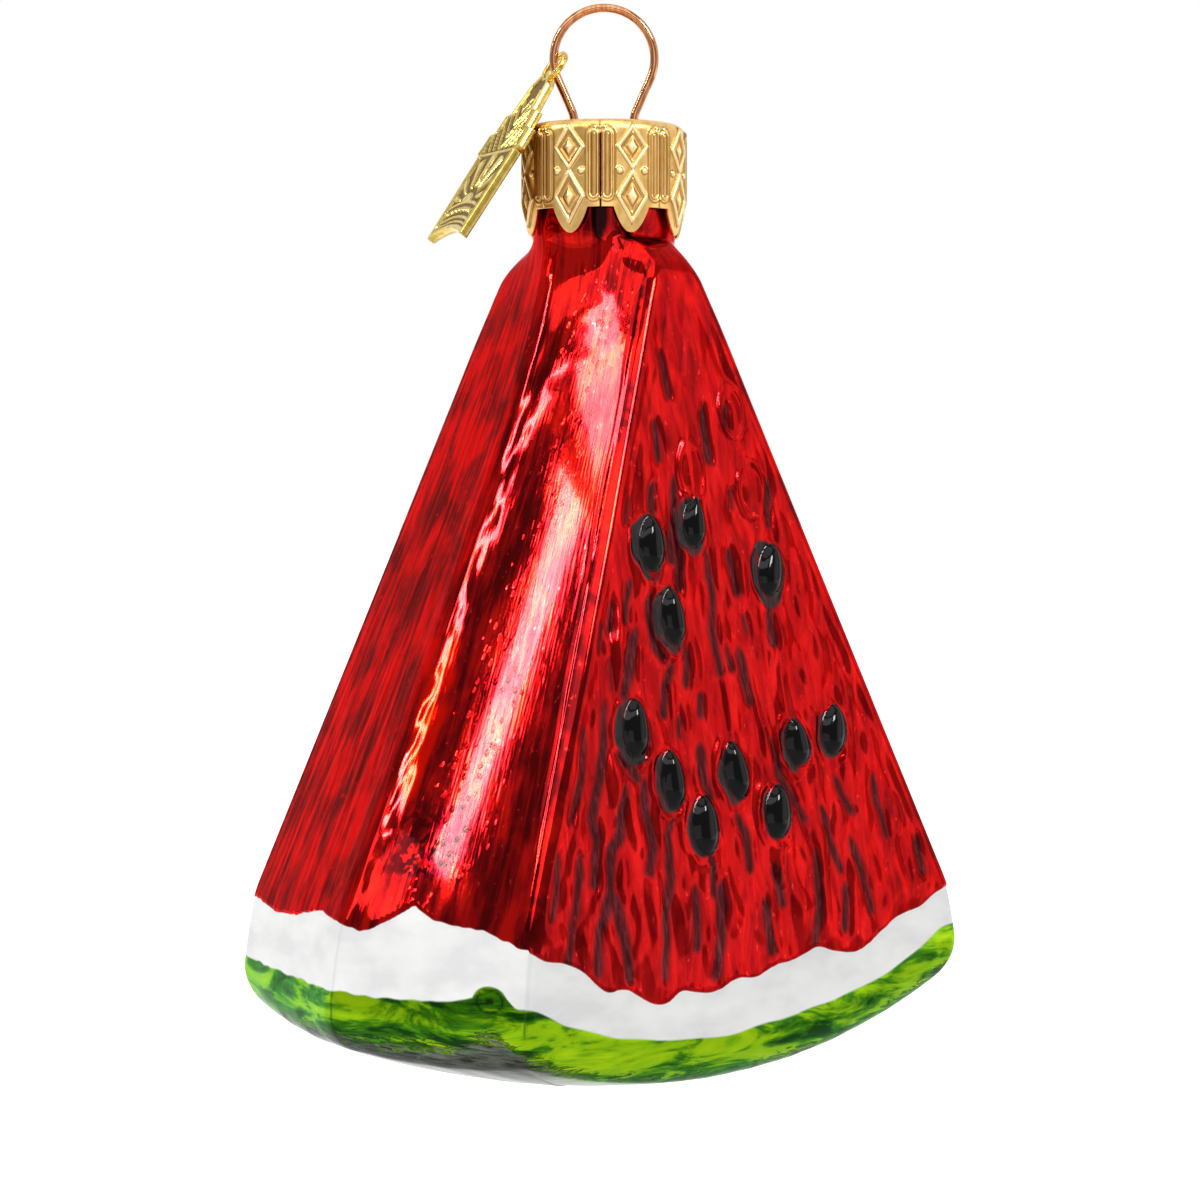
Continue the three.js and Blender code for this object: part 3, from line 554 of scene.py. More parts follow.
def glass_fields(points, corner, along):
    """Relief over the glass in millimetres and the fields of its paint."""
    x, y, z = points[..., 0], points[..., 1], points[..., 2]
    place = round_place(points, corner, along)
    front, back, thick, ridge = slice_sizes(np.minimum(z, SHOULDER_Z))
    side = np.floor(place).astype(int) % 6
    face = np.where((side >= 2) & (side <= 4), back, front)
    part = place - np.floor(place)
    on_front, on_middle = side == 0, side == 5
    seeded = (on_front | (side == 3)).astype(float)
    ends_on_ridge = (side == 1) | (side == 4)
    width = np.where(seeded > 0, 2 * face, np.hypot(ridge - face, thick))
    from_start, from_end = part * width, (1 - part) * width
    from_edge = np.minimum(from_start, from_end)
    relief_face, fields = face_relief(np.where(on_front, x, -x), z)
    streaked = np.where(side == 4, 1.0, np.where(on_middle, 0.01, 0.6))
    relief_side = side_relief(place * RELIEF_FACET, z, streaked)
    inner = smooth(from_edge, 0.5, 2.4)
    relief = np.where(seeded > 0, relief_face, relief_side) * inner
    ridge_side = np.where(ends_on_ridge, from_end, from_start)
    edge_side = np.where(ends_on_ridge, from_start, from_end)
    bulge = part * (1 - part) * width ** 2 / (2 * SIDE_BULGE_RADIUS) * (1 - seeded)
    wander = 0.35 * noise(z / 4.5, 0 * z + 0.5, 21)
    from_corner = np.where(seeded > 0, from_edge, edge_side)
    bead = 0.11 * bump(from_corner, 0.1, 0.8)
    bead -= 0.08 * bump(from_corner, 1.9 + wander, 0.6) * seeded
    seam = -0.07 * bump(edge_side, 1.0 + 0.5 * wander, 0.25) * (1 - seeded)
    sway = 1.3 * noise(z / 8.5, side * 5.1 + 0.5, 26) + 0.4 * noise(z / 2.7, side * 2.7 + 0.5, 27)
    swollen = 0.65 + 0.9 * noise(z / 4.5, side * 1.9 + 0.5, 28)
    rough = 0.025 * noise(ridge_side / 1.1, z / 2.2, 30) * bump(ridge_side, 1.2, 1.6)
    fold = (0.08 * swollen * bump(ridge_side, 0.6 + 0.6 * sway, 1.5) + rough) * (1 - seeded)
    groove = -0.04 * swollen * bump(ridge_side, 3.2 + sway, 2.2) * (1 - seeded)
    drawn = smooth(-z, -SHOULDER_Z - 3, -SHOULDER_Z + 6)
    flesh = z - border(place, FLESH_BORDER, 0.012) + 0.2 * noise(place * 22, z * 0 + 0.5, 22)
    rind = z - border(place, RIND_BORDER, 0.03) + 0.25 * noise(place * 14, z * 0 + 0.5, 23)
    away = np.hypot(from_end - MARK_SHARE * width, MARK_WIDE * (z - MARK_Z))
    rind = np.where(on_middle, np.minimum(rind, (away - 1.8) * 0.8), rind)
    rings = bump(away, 1.35, 0.16) + smooth(away, 0.55, 0.35)
    creases = bump(np.where(on_middle | on_front, from_start, 9), 0.3, 0.14)
    on_wall = smooth(z, -93, -90) * smooth(flesh, -2.2, 0.4)
    relief = (relief + bead + seam + fold + groove) * drawn * (0.12 + 0.88 * on_wall)
    relief += bulge * smooth(-z, 25.5, 32) * on_wall
    relief += 0.12 * smooth(flesh, -0.12, 0.12) * drawn
    low_down, angle = smooth(-z, 80, 86), np.arctan2(y, x)
    rounded = 0.12 * noise(place * 4.5, z / 5.5, 24) * low_down
    relief += rounded + 0.05 * noise(place * 9, z / 9, 31) * low_down
    relief += 0.1 * noise(angle * 2.1, z / 2.6, 25) * (1 - drawn) * smooth(-z, 20.4, 24)
    crust, drops, gilt = (field * on_middle for field in middle_facet_fields(part, z))
    crack = bump(edge_side, 0.75 + 0.5 * wander, 0.2) * (1 - seeded)
    aside = (angle - DRIP_ANGLE) * NECK_RADIUS / DRIP_HALF_WIDTH
    drip = np.hypot(aside, np.maximum(DRIP_Z - z, 0) / DRIP_LENGTH)
    fields = {name: np.where(seeded > 0, depth, FAR_OUTSIDE) for name, depth in fields.items()}
    fields.update({
        "flesh": flesh,
        "rind": rind,
        "front": seeded * smooth(from_edge, 0.2, 1.6),
        "mark": np.clip(rings * on_middle + 0.8 * creases, 0, 1),
        "seam": np.maximum(crack, crust),
        "drops": drops,
        "gilt": gilt,
        "drip": smooth(drip, 1.15, 0.85) * (z > NECK_END_Z - 2),
    })
    return relief, fields, place


def add_round_field(piece, place, corner):
    """Stores the round coordinate a face corner at a time, so that it runs on over its end."""
    runs_on = np.where((corner == 0) & (place > 3), place - 6, place)
    runs_on = np.concatenate([runs_on, runs_on[:, :1] + 6], 1)
    values = np.stack([runs_on[:-1, :-1], runs_on[1:, :-1], runs_on[1:, 1:], runs_on[:-1, 1:]], -1)
    field = piece.data.attributes.new("round", "FLOAT", "CORNER")
    field.data.foreach_set("value", values.astype(np.float32).ravel())


def neck_heights(neck_rows, shoulder_rows):
    """Heights of the rows from the rounded lip's foot down to the shoulder."""
    neck = np.linspace(MOUTH_Z - GLASS_WALL / 2, NECK_END_Z, neck_rows)
    return np.concatenate([neck, np.linspace(NECK_END_Z, SHOULDER_Z, shoulder_rows)[1:]])


def lip_rows(spokes):
    """Rows over the rounded lip, from its inner side to the outside."""
    half, rows = GLASS_WALL / 2, []
    for angle in np.radians([175, 150, 120, 90, 60, 30]):
        ring = spokes * (NECK_RADIUS - half + half * math.cos(angle))
        height = np.full(ring.shape[:2], MOUTH_Z - half + half * math.sin(angle))
        rows.append(np.dstack([ring, height]))
    return rows


def make_glass(material, inner_material):
    """The painted outside with its rounded lip, and the silvered inside."""
    corner, along = glass_columns(*OUTSIDE_STEPS)
    points = glass_skin(corner, along, 0.0, neck_heights(*OUTSIDE_ROWS[:2]), *OUTSIDE_ROWS[2:])
    relief, fields, place = glass_fields(points, corner, along)
    points += row_normals(points) * relief[..., None]
    low, high = (np.array(c) / MM for c in CAD_BOX)
    points = np.clip(points, low + BOX_MARGIN, high - BOX_MARGIN)
    lip = lip_rows(unit(points[:1, :, :2]))

    def with_lip(values):
        return np.concatenate([np.repeat(values[:1], len(lip), 0), values])

    points = np.concatenate(lip + [points])
    faces = grid_faces(*points.shape[:2])
    body = mesh_object("glass_paint", points.reshape(-1, 3), faces, "glass",
                       material, "glass_body")
    for name, values in fields.items():
        add_field(body, name, with_lip(values))
    add_round_field(body, with_lip(place), corner)
    corner, along = glass_columns(*INSIDE_STEPS)
    heights = neck_heights(*INSIDE_ROWS[:2])
    points = glass_skin(corner, along, GLASS_WALL, heights, *INSIDE_ROWS[2:])[:, ::-1]
    mesh_object("glass_silvering", points.reshape(-1, 3), grid_faces(*points.shape[:2]), "glass",
                inner_material, "glass_body")


# Cap

def tooth_edge(from_tooth):
    """Height of the cap's lower edge at a distance along the skirt from a tooth's middle."""
    half = math.pi * CAP_RADIUS / TEETH - VALLEY_WIDTH / 2
    share = np.clip(np.abs(from_tooth) / half, 0, 1)
    return VALLEY_Z - TOOTH_DROP * np.cos(np.pi / 2 * share) ** TOOTH_FULLNESS


def cap_relief(s, z):
    """Embossing of one unit of the skirt in millimetres: s runs from its tooth's middle."""
    relief = np.zeros(s.shape)
    for middle, half_height in DIAMONDS:
        r = np.abs(s) / DIAMOND_HALF_WIDTH + np.abs(z - middle) / half_height
        relief = np.maximum.reduce([
            relief,
            0.27 * band(r, 0.74, 0.80, 0.97, 1.03),
            0.13 * band(r, 0.56, 0.61, 0.69, 0.74),
            0.32 * np.clip(1 - r / 0.45, 0, 1) ** 0.8,
        ])
        relief -= 0.09 * band(r, 0.42, 0.48, 0.55, 0.60)
    dot = np.hypot(np.abs(s) - DOT_ASIDE, z - DOT_Z)
    from_slit = np.pi * CAP_RADIUS / TEETH - np.abs(s)
    rib = np.hypot(from_slit - RIB_TO_SLIT, z - np.clip(z, RIB_LOW_Z, RIB_TOP_Z))
    around = np.hypot(from_slit - RIB_TO_SLIT, z - np.clip(z, RIB_LOW_Z, RIB_TOP_Z + 0.1))
    notch = np.maximum(from_slit - NOTCH_HALF_WIDTH, np.abs(z - NOTCH_Z) - NOTCH_HALF_HEIGHT)
    return np.maximum.reduce([
        relief,
        0.28 * np.sqrt(np.clip(1 - (dot / 0.34) ** 2, 0, 1)),
        0.2 * band(rib, 0.27, 0.32, 0.42, 0.47),
        0.12 * smooth(rib, 0.22, 0.16),
        0.07 * band(around, 0.62, 0.66, 0.76, 0.8),
        0.2 * smooth(np.abs(notch - 0.16), 0.1, 0.04) * (z > SLIT_TOP_Z),
    ])


def skirt_columns():
    """Each column's angle and its way from its tooth's middle, kept off the slits."""
    count = TEETH * TOOTH_COLUMNS
    half, pitch = np.pi / TEETH, 2 * np.pi / count
    half_width = half * CAP_RADIUS
    angle = 2 * np.pi * np.arange(count) / count - half
    angle = np.where((angle + half) % (2 * half) < 1e-9, angle - pitch / 2, angle)
    s = ((angle + half) % (2 * half) - half) * CAP_RADIUS
    beside_slit = np.abs(np.abs(s) - half_width) < pitch * CAP_RADIUS
    s = np.where(beside_slit, np.sign(s) * (half_width - SLIT_OPEN / 2), s)
    angle = np.floor((angle + half) / (2 * half)) * 2 * half + s / CAP_RADIUS
    order = np.argsort(angle)
    return angle[order], s[order]


def make_cap(material):
    """The embossed cup, one sheet thick, with open slits between its teeth."""
    angle, s = skirt_columns()
    arc = np.pi / 2 * np.linspace(0, 1, CAP_SHOULDER_ROWS)[:, None]
    shoulder_r = CAP_RADIUS - CAP_SHOULDER_RADIUS * (1 - np.sin(arc)) + 0 * s
    shoulder_z = CAP_TOP_Z - CAP_SHOULDER_RADIUS * (1 - np.cos(arc)) + 0 * s
    top = CAP_TOP_Z - CAP_SHOULDER_RADIUS
    share = (np.arange(1, SKIRT_ROWS + 1) / SKIRT_ROWS)[:, None]
    z = top + (tooth_edge(s)[None, :] - top) * share
    bent = np.clip((BEND_Z - z) / (BEND_Z - (VALLEY_Z - TOOTH_DROP)), 0, 1)
    r = np.concatenate([shoulder_r, CAP_RADIUS - TOOTH_BEND * bent])
    z = np.concatenate([shoulder_z, z])
    out_r = np.concatenate([np.sin(arc) + 0 * s, np.ones(bent.shape)])
    out_z = np.concatenate([np.cos(arc) + 0 * s, np.zeros(bent.shape)])
    relief = cap_relief(np.broadcast_to(s, z.shape), z)
    relief[:2] = 0
    r, z_out = r + out_r * relief, z + out_z * relief
    points = np.dstack([r * np.sin(angle), -r * np.cos(angle), z_out])
    rows, columns = points.shape[:2]
    faces = np.array(grid_faces(rows, columns)).reshape(rows - 1, columns, 4)
    beside_slit = np.abs(np.abs(s) - np.pi * CAP_RADIUS / TEETH) < SLIT_OPEN
    across_slit = beside_slit & np.roll(beside_slit, -1) & (s > 0)
    open_slit = ((z[:-1] + z[1:]) / 2 < SLIT_TOP_Z) & across_slit
    faces = faces[~open_slit].reshape(-1, 4).tolist()
    flat = points.reshape(-1, 3).tolist()
    field = relief.ravel().tolist()
    cap_top(flat, field, faces, columns)
    points = turned(flat, TEETH_TURN + HANGER_TURN)
    cap = mesh_object("cap_sheet", points, faces, "cap", material, "cap")
    add_field(cap, "relief", field)
    thicken = cap.modifiers.new("sheet", "SOLIDIFY")
    thicken.thickness = SHEET * MM
    thicken.offset = -1
    thicken.use_even_offset = False


def cap_top(points, field, faces, columns):
    """Closes the cap's top with a flat disc that leaves the two wire holes open."""
    build = bmesh.new()
    rim = [build.verts.new(point) for point in points[:columns]]
    edges = [build.edges.new(pair) for pair in zip(rim, rim[1:] + rim[:1])]
    hole = WIRE_RADIUS + RUNNING_GAP
    for aside in (-LEG_SPACING / 2, LEG_SPACING / 2):
        x, y = aside * math.cos(-TEETH_TURN), aside * math.sin(-TEETH_TURN)
        ring = []
        for a in np.linspace(0, 2 * np.pi, HOLE_STEPS, endpoint=False):
            place = (x + hole * math.cos(a), y + hole * math.sin(a), CAP_TOP_Z)
            ring.append(build.verts.new(place))
        edges += [build.edges.new(pair) for pair in zip(ring, ring[1:] + ring[:1])]
    bmesh.ops.triangle_fill(
        build, use_beauty=True, use_dissolve=False, edges=edges, normal=(0, 0, 1),
    )
    build.verts.index_update()
    start = len(points)
    for vert in build.verts:
        if vert.index >= columns:
            points.append(list(vert.co))
            field.append(0.0)
    for face in build.faces:
        ids = [v.index if v.index < columns else start + v.index - columns for v in face.verts]
        if face.normal.z < 0:
            ids.reverse()
        faces.append(ids)
    build.free()


# Wire

def curved(start, middle, end):
    """Points on the curve from start to end that leaves and arrives in line with middle."""
    shares = np.linspace(0, 1, 12)
    return [tuple((1 - t) ** 2 * start + 2 * t * (1 - t) * middle + t ** 2 * end) for t in shares]


def wire_half():
    """Right half of the wire's centre line, as x and z from the loop's top to the leg's tip."""
    leg_x = LEG_SPACING / 2
    bend_z = CAP_TOP_Z + LEG_BEND_HEIGHT
    to_centre = math.hypot(leg_x, bend_z - LOOP_CENTRE_Z)
    turn = math.asin(LOOP_RADIUS / to_centre) - math.atan2(leg_x, LOOP_CENTRE_Z - bend_z)
    angle = np.pi / 2 - (np.pi / 2 + turn) * np.linspace(0, 1, 60)
    points = [(LOOP_RADIUS * math.cos(a), LOOP_CENTRE_Z + LOOP_RADIUS * math.sin(a)) for a in angle]
    tangent = np.array(points[-1])
    bend = np.array([leg_x, bend_z])
    before = bend + (tangent - bend) * LEG_BEND_SETBACK / np.linalg.norm(tangent - bend)
    after = bend - np.array([0, LEG_BEND_SETBACK])
    points += curved(before, bend, after)
    straight_end = CAP_TOP_Z - SHEET - LOOP_TRAVEL - RUNNING_GAP
    spread_end = CAP_TOP_Z - LEG_LENGTH + LEG_TIP_LENGTH
    for t in np.linspace(0, 1, 40)[1:]:
        z = straight_end + (spread_end - straight_end) * t
        points.append((leg_x + (LEG_SPREAD - leg_x) * (t * t * (2.2 - 1.2 * t)), z))
    tip = np.array([LEG_SPREAD - LEG_TIP_CURL, CAP_TOP_Z - LEG_LENGTH])
    start, middle = np.array(points[-1]), np.array([LEG_SPREAD, spread_end - LEG_TIP_LENGTH / 2])
    return points + curved(start, middle, tip)[1:]


def make_wire(material):
    """Rings of points along the wire's centre line."""
    right = wire_half()
    line = np.array([(-x, 0.0, z) for x, z in right[:0:-1]] + [(x, 0.0, z) for x, z in right])
    along = unit(np.gradient(line, axis=0))
    aside = np.array([0.0, 1.0, 0.0])
    out = np.cross(along, aside)
    rings = [(line[i], i, 1.0) for i in range(len(line))]
    for share, push in WIRE_ENDS:
        start, end = line[0] - along[0] * push, line[-1] + along[-1] * push
        rings = [(start, 0, share)] + rings + [(end, -1, share)]
    points = []
    for middle, i, share in rings:
        for a in 2 * np.pi * np.arange(WIRE_SIDES) / WIRE_SIDES:
            spoke = math.cos(a) * out[i] + math.sin(a) * aside
            points.append(middle + spoke * WIRE_RADIUS * share)
    points = turned(points, HANGER_TURN)
    faces = grid_faces(len(rings), WIRE_SIDES)
    mesh_object("wire_loop", points, faces, "hanger", material, "hanger_wire")


# Tag

def tag_half_width(down):
    """Half width of the tag at a depth below its eye's centre."""
    depths = [TAG_TOP] + [d for _, d in TAG_STEPS] + [TAG_LENGTH]
    widths = [TAG_TOP_HALF] + [w for w, _ in TAG_STEPS] + [TAG_WIDTH / 2]
    return np.interp(down, depths, widths)


def tag_relief(x, down):
    """Carving of the tag's two faces, from 0 on the raised lines to 1 in the ground."""
    arch = TAG_LENGTH - TAG_ARCH * (1 - (x / (TAG_WIDTH / 2)) ** 2) - down
    rim = np.minimum(tag_half_width(down) - np.abs(x), arch)
    bead = np.hypot((x % 0.8) - 0.4, arch - 2.15)
    away, ray = np.hypot(x, down - RAYS_FROM), np.arctan2(x, RAYS_FROM - down)
    fan = smooth(np.cos(ray * 14), -0.1, 0.45) * band(away, 1.6, 1.9, 5.3, 5.6)
    leaf = np.abs((np.abs(x) * 1.4 + down) % 1.5 - 0.75)
    raised = np.maximum.reduce([
        smooth(rim, 0.5, 0.38),
        bump(rim, 0.8, 0.09) * (down > 3),
        bump(arch, 3.0, 0.13) * (down > 12),
        bump(arch, 1.35, 0.12) * (down > 12),
        smooth(bead, 0.36, 0.24) * (np.abs(x) < 3.3),
        fan * (down < 15.3) * (rim > 0.9),
        smooth(away, 1.2, 1.05) * (arch > 3.2),
        smooth(leaf, 0.36, 0.22) * ((down < 9.6) & (down > 4.0)) * (rim > 0.9),
        bump(down, 9.9, 0.14) * (rim > 0.4),
    ])
    return 1 - np.clip(raised, 0, 1)


def tag_lean(pivot_x, pivot_z):
    """Lean of the tag from the vertical as it rests on the cap's rounded shoulder."""
    out = -pivot_x * math.cos(TAG_TURN)
    across = CAP_RADIUS - CAP_SHOULDER_RADIUS - out
    up = pivot_z - (CAP_TOP_Z - CAP_SHOULDER_RADIUS)
    reach = CAP_SHOULDER_RADIUS + TAG_REST_GAP + TAG_THICKNESS / 2
    return math.atan2(across, up) + math.asin(reach / math.hypot(across, up))


def place_tag(points):
    """Takes points from the tag's own frame, x across and y up from its eye, to the ornament's."""
    x, y, z = np.moveaxis(np.asarray(points, float), -1, 0)
    pivot_x = -LOOP_RADIUS * math.cos(TAG_ON_LOOP)
    pivot_z = LOOP_CENTRE_Z - LOOP_RADIUS * math.sin(TAG_ON_LOOP)
    lean = tag_lean(pivot_x, pivot_z)
    c, s = math.cos(lean), math.sin(lean)
    leaning = np.stack([y * s - z * c, -x, z * s + y * c], -1)
    placed = turned(leaning, TAG_TURN) + np.array([pivot_x, 0, pivot_z])
    return turned(placed, HANGER_TURN)


def add_eye(points, field, faces):
    """Adds the eye, a ring of rounded section, to the plate's points and faces."""
    middle, half = (EYE_RADIUS + EYE_HOLE_RADIUS) / 2, (EYE_RADIUS - EYE_HOLE_RADIUS) / 2
    start = len(points)
    for a in np.linspace(0, 2 * np.pi, EYE_STEPS, endpoint=False):
        for b in np.linspace(0, 2 * np.pi, EYE_SIDES, endpoint=False):
            out, up = math.cos(b), math.sin(b)
            r = middle + half * np.sign(out) * abs(out) ** 0.7
            h = EYE_THICKNESS / 2 * np.sign(up) * abs(up) ** 0.7
            points.append([r * math.cos(a), r * math.sin(a), h])
            field.append(0.0)
    for i in range(EYE_STEPS):
        here, there = start + i * EYE_SIDES, start + (i + 1) % EYE_STEPS * EYE_SIDES
        for j in range(EYE_SIDES):
            after = (j + 1) % EYE_SIDES
            faces.append([here + j, there + j, there + after, here + after])


def make_tag(material):
    """The plate, whose rows of points run round it at each depth, and its eye."""
    steps = [d for _, d in TAG_STEPS]
    depths = np.concatenate([np.linspace(TAG_TOP, TAG_LENGTH, TAG_ROWS), steps])
    depths = sorted(set(np.round(depths, 4)))
    inner, ones = np.linspace(-0.975, 0.975, TAG_COLUMNS), np.ones(TAG_COLUMNS)
    shares = np.concatenate([[-1.0], inner, [1.0, 1.0], inner[::-1], [-1.0]])
    face_z = np.concatenate([[0.7], ones, [0.7, -0.7], -ones, [-0.7]]) * TAG_THICKNESS / 2
    rows, fields = [], []
    stretch_from = TAG_STEPS[-1][1]
    for down in depths:
        x = shares * tag_half_width(down)
        lift = np.clip((down - stretch_from) / (TAG_LENGTH - stretch_from), 0, 1)
        y_down = down - lift * TAG_ARCH * (1 - shares ** 2)
        carved = np.where(np.abs(shares) < 0.99, tag_relief(x, y_down), 0.0)
        rows.append(np.stack([x, -y_down, face_z * (1 - 0.42 * carved)], -1))
        fields.append(carved)
    count = len(shares)
    faces = [face[::-1] for face in grid_faces(len(depths), count)]
    for start in (0, (len(depths) - 1) * count):
        for k in range(count // 2 - 1):
            quad = [start + k, start + k + 1, start + count - 2 - k, start + count - 1 - k]
            faces.append(quad if start else quad[::-1])
    flat = np.array(rows).reshape(-1, 3).tolist()
    field = np.array(fields).ravel().tolist()
    add_eye(flat, field, faces)
    tag = mesh_object("tag_plate", place_tag(flat), faces, "tag", material, "tag")
    add_field(tag, "ground", field)


# Materials

class Graph:
    """Short calls that build the nodes of a material or a world."""

    def __init__(self, owner, output="ShaderNodeOutputMaterial"):
        owner.use_nodes = True
        self.owner, self.tree = owner, owner.node_tree
        self.tree.nodes.clear()
        self.out = self.tree.nodes.new(output)

    def node(self, kind, sockets, **settings):
        """A node with its settings, and with values or links in the sockets named or numbered."""
        made = self.tree.nodes.new(kind)
        for key, value in settings.items():
            setattr(made, key, value)
        for key, value in sockets.items():
            self.put(made.inputs[key], value)
        return made

    def put(self, socket, value):
        if isinstance(value, bpy.types.NodeSocket):
            self.tree.links.new(value, socket)
        elif hasattr(socket.default_value, "__len__") and len(socket.default_value) == 4:
            socket.default_value = (*value, 1.0)
        else:
            socket.default_value = value

    def show(self, shader):
        self.put(self.out.inputs["Surface"], shader.outputs[0])
        return self.owner

    def field(self, name):
        """One of the numbers that add_field stored."""
        return self.node("ShaderNodeAttribute", {}, attribute_name=name).outputs["Fac"]

    def place(self, kind="Object"):
        """Coordinates of the shaded point, or with Generated in a world, its direction."""
        return self.node("ShaderNodeTexCoord", {}).outputs[kind]

    def texture(self, place, detail, rough, warp):
        made = self.node("ShaderNodeTexNoise", {
            "Vector": place, "Scale": 1.0, "Detail": detail, "Roughness": rough, "Distortion": warp,
        })
        return made.outputs["Fac"]

    def noise(self, size, detail=3.0, rough=0.55, warp=0.0):
        """Noise whose cells have the given sizes in millimetres along X, Y and Z."""
        scale = [1 / (s * MM) for s in size]
        cells = self.node("ShaderNodeMapping", {"Scale": scale, "Vector": self.place()})
        return self.texture(cells.outputs[0], detail, rough, warp)

    def lengthwise(self, across, along):
        """Coordinates in cells of the given millimetres that run round and down the slice."""
        height = self.node("ShaderNodeSeparateXYZ", {0: self.place()}).outputs[2]
        joined = self.node("ShaderNodeCombineXYZ", {
            0: self.times(self.field("round"), PAINT_FACET / across),
            1: self.times(height, 1 / (along * MM)),
        })
        return joined.outputs[0]

    def lines(self, across, along, detail=1.0, warp=0.0):
        """Noise in cells of the given millimetres that run round and down the slice."""
        return self.texture(self.lengthwise(across, along), detail, 0.5, warp)

    def drops(self, across, along):
        """Round bumps, 0 to 1, in about half of the cells."""
        cells = {"Vector": self.lengthwise(across, along), "Scale": 1.0}
        made = self.node("ShaderNodeTexVoronoi", cells)
        chosen = self.step(made.outputs["Color"], 0.4, 0.5)
        return self.times(self.step(made.outputs["Distance"], 0.42, 0.05), chosen)

    def ramp(self, value, stops):
        """Colours at places from 0 to 1."""
        made = self.node("ShaderNodeValToRGB", {"Fac": value})
        elements = made.color_ramp.elements
        while len(elements) < len(stops):
            elements.new(0.5)
        for element, (position, colour) in zip(elements, stops):
            element.position = position
            element.color = (*colour, 1.0)
        return made.outputs["Color"]

    def step(self, value, low, high):
        """Rises smoothly from 0 to 1 between low and high."""
        sockets = {"Value": value, "From Min": low, "From Max": high}
        made = self.node("ShaderNodeMapRange", sockets, interpolation_type="SMOOTHSTEP")
        return made.outputs["Result"]

    def math(self, kind, first, second):
        return self.node("ShaderNodeMath", {0: first, 1: second}, operation=kind).outputs[0]

    def times(self, first, second):
        return self.math("MULTIPLY", first, second)

    def plus(self, first, second):
        return self.math("ADD", first, second)

    def minus(self, first, second):
        return self.math("SUBTRACT", first, second)

    def most(self, first, second):
        return self.math("MAXIMUM", first, second)

    def dot(self, vector, direction):
        """Length of a vector along a direction."""
        sockets = {0: vector, 1: direction}
        return self.node("ShaderNodeVectorMath", sockets, operation="DOT_PRODUCT").outputs["Value"]

    def mix(self, share, first, second):
        sockets = {0: share, 6: first, 7: second}
        return self.node("ShaderNodeMix", sockets, data_type="RGBA").outputs[2]

    def coats(self, colour, layers):
        """A colour under layers, each given as its share and its colour."""
        for share, layer in layers:
            colour = self.mix(share, colour, layer)
        return colour

    def mix_value(self, share, first, second):
        sockets = {0: share, 2: first, 3: second}
        return self.node("ShaderNodeMix", sockets, data_type="FLOAT").outputs[0]

    def bump(self, height, distance, strength=1.0):
        """Normals of a height that is counted in distance, in millimetres."""
        sockets = {"Height": height, "Distance": distance * MM, "Strength": strength}
        return self.node("ShaderNodeBump", sockets).outputs["Normal"]

    def principled(self, **sockets):
        """Finishes the material with these sockets, whose names have _ for a space."""
        sockets = {key.replace("_", " "): value for key, value in sockets.items()}
        return self.show(self.node("ShaderNodeBsdfPrincipled", sockets))


def material_graph(name):
    return Graph(bpy.data.materials.new(name))


def flesh_paint(g, front):
    """Colour of the flesh with its strokes and seeds, and the share of enamel in it."""
    streaks = g.noise((1.3, 1.3, 8.0), 4.0, 0.6, 0.6)
    clouds = g.noise((4.5, 4.5, 7.0), 3.0, 0.55, 0.4)
    veins = g.noise((0.35, 0.35, 3.0), 3.0, 0.6, 0.3)
    veined = g.mix_value(0.5, clouds, g.lines(0.75, 7.0, 3.0, 0.5))
    side_red = g.ramp(g.mix_value(g.step(g.field("round"), 4.0, 4.02), clouds, veined), [
        (0.41, (0.13, 0.001, 0.002)), (0.5, (0.38, 0.003, 0.004)), (0.59, (0.74, 0.008, 0.004)),
    ])
    front_red = g.ramp(streaks, [
        (0.28, (0.17, 0.001, 0.002)), (0.47, (0.38, 0.003, 0.004)), (0.68, (0.62, 0.008, 0.007)),
    ])
    specks = g.step(g.noise((0.5, 0.5, 0.9), 2.0, 0.6), 0.64, 0.76)
    seam = g.times(g.field("seam"), g.step(g.noise((0.9, 0.9, 0.9), 1.0), 0.42, 0.55))
    smear = g.times(g.minus(streaks, 0.5), 1.2)
    stroke = g.times(g.step(g.plus(g.field("stroke"), smear), -0.42, 0.3), 0.92)
    stroke_colour = g.ramp(veins, [
        (0.36, (0.008, 0.001, 0.0015)), (0.52, (0.03, 0.004, 0.006)), (0.68, (0.10, 0.014, 0.02)),
    ])
    halo = g.times(g.step(g.field("halo"), -0.1, 0.15), g.step(streaks, 0.2, 0.5))
    halo_colour = g.ramp(veins, [(0.36, (0.006, 0.004, 0.0045)), (0.68, (0.035, 0.02, 0.022))])
    seed = g.step(g.field("seed"), -0.05, 0.06)
    red = g.coats(g.mix(front, side_red, front_red), [
        (specks, (0.70, 0.02, 0.018)),
        (seam, (0.05, 0.0, 0.002)),
        (stroke, stroke_colour),
        (halo, halo_colour),
        # Painted glow: brighter orange-red near the crease, standing for light reflected inside the
        # glass
        (g.step(g.field("gilt"), 0.15, 0.6), (0.90, 0.006, 0.0006)),
        (g.field("drip"), (0.012, 0.0, 0.001)),
        (seed, (0.002, 0.002, 0.002)),
    ])
    return red, g.most(g.most(seed, halo), g.times(stroke, 0.35))


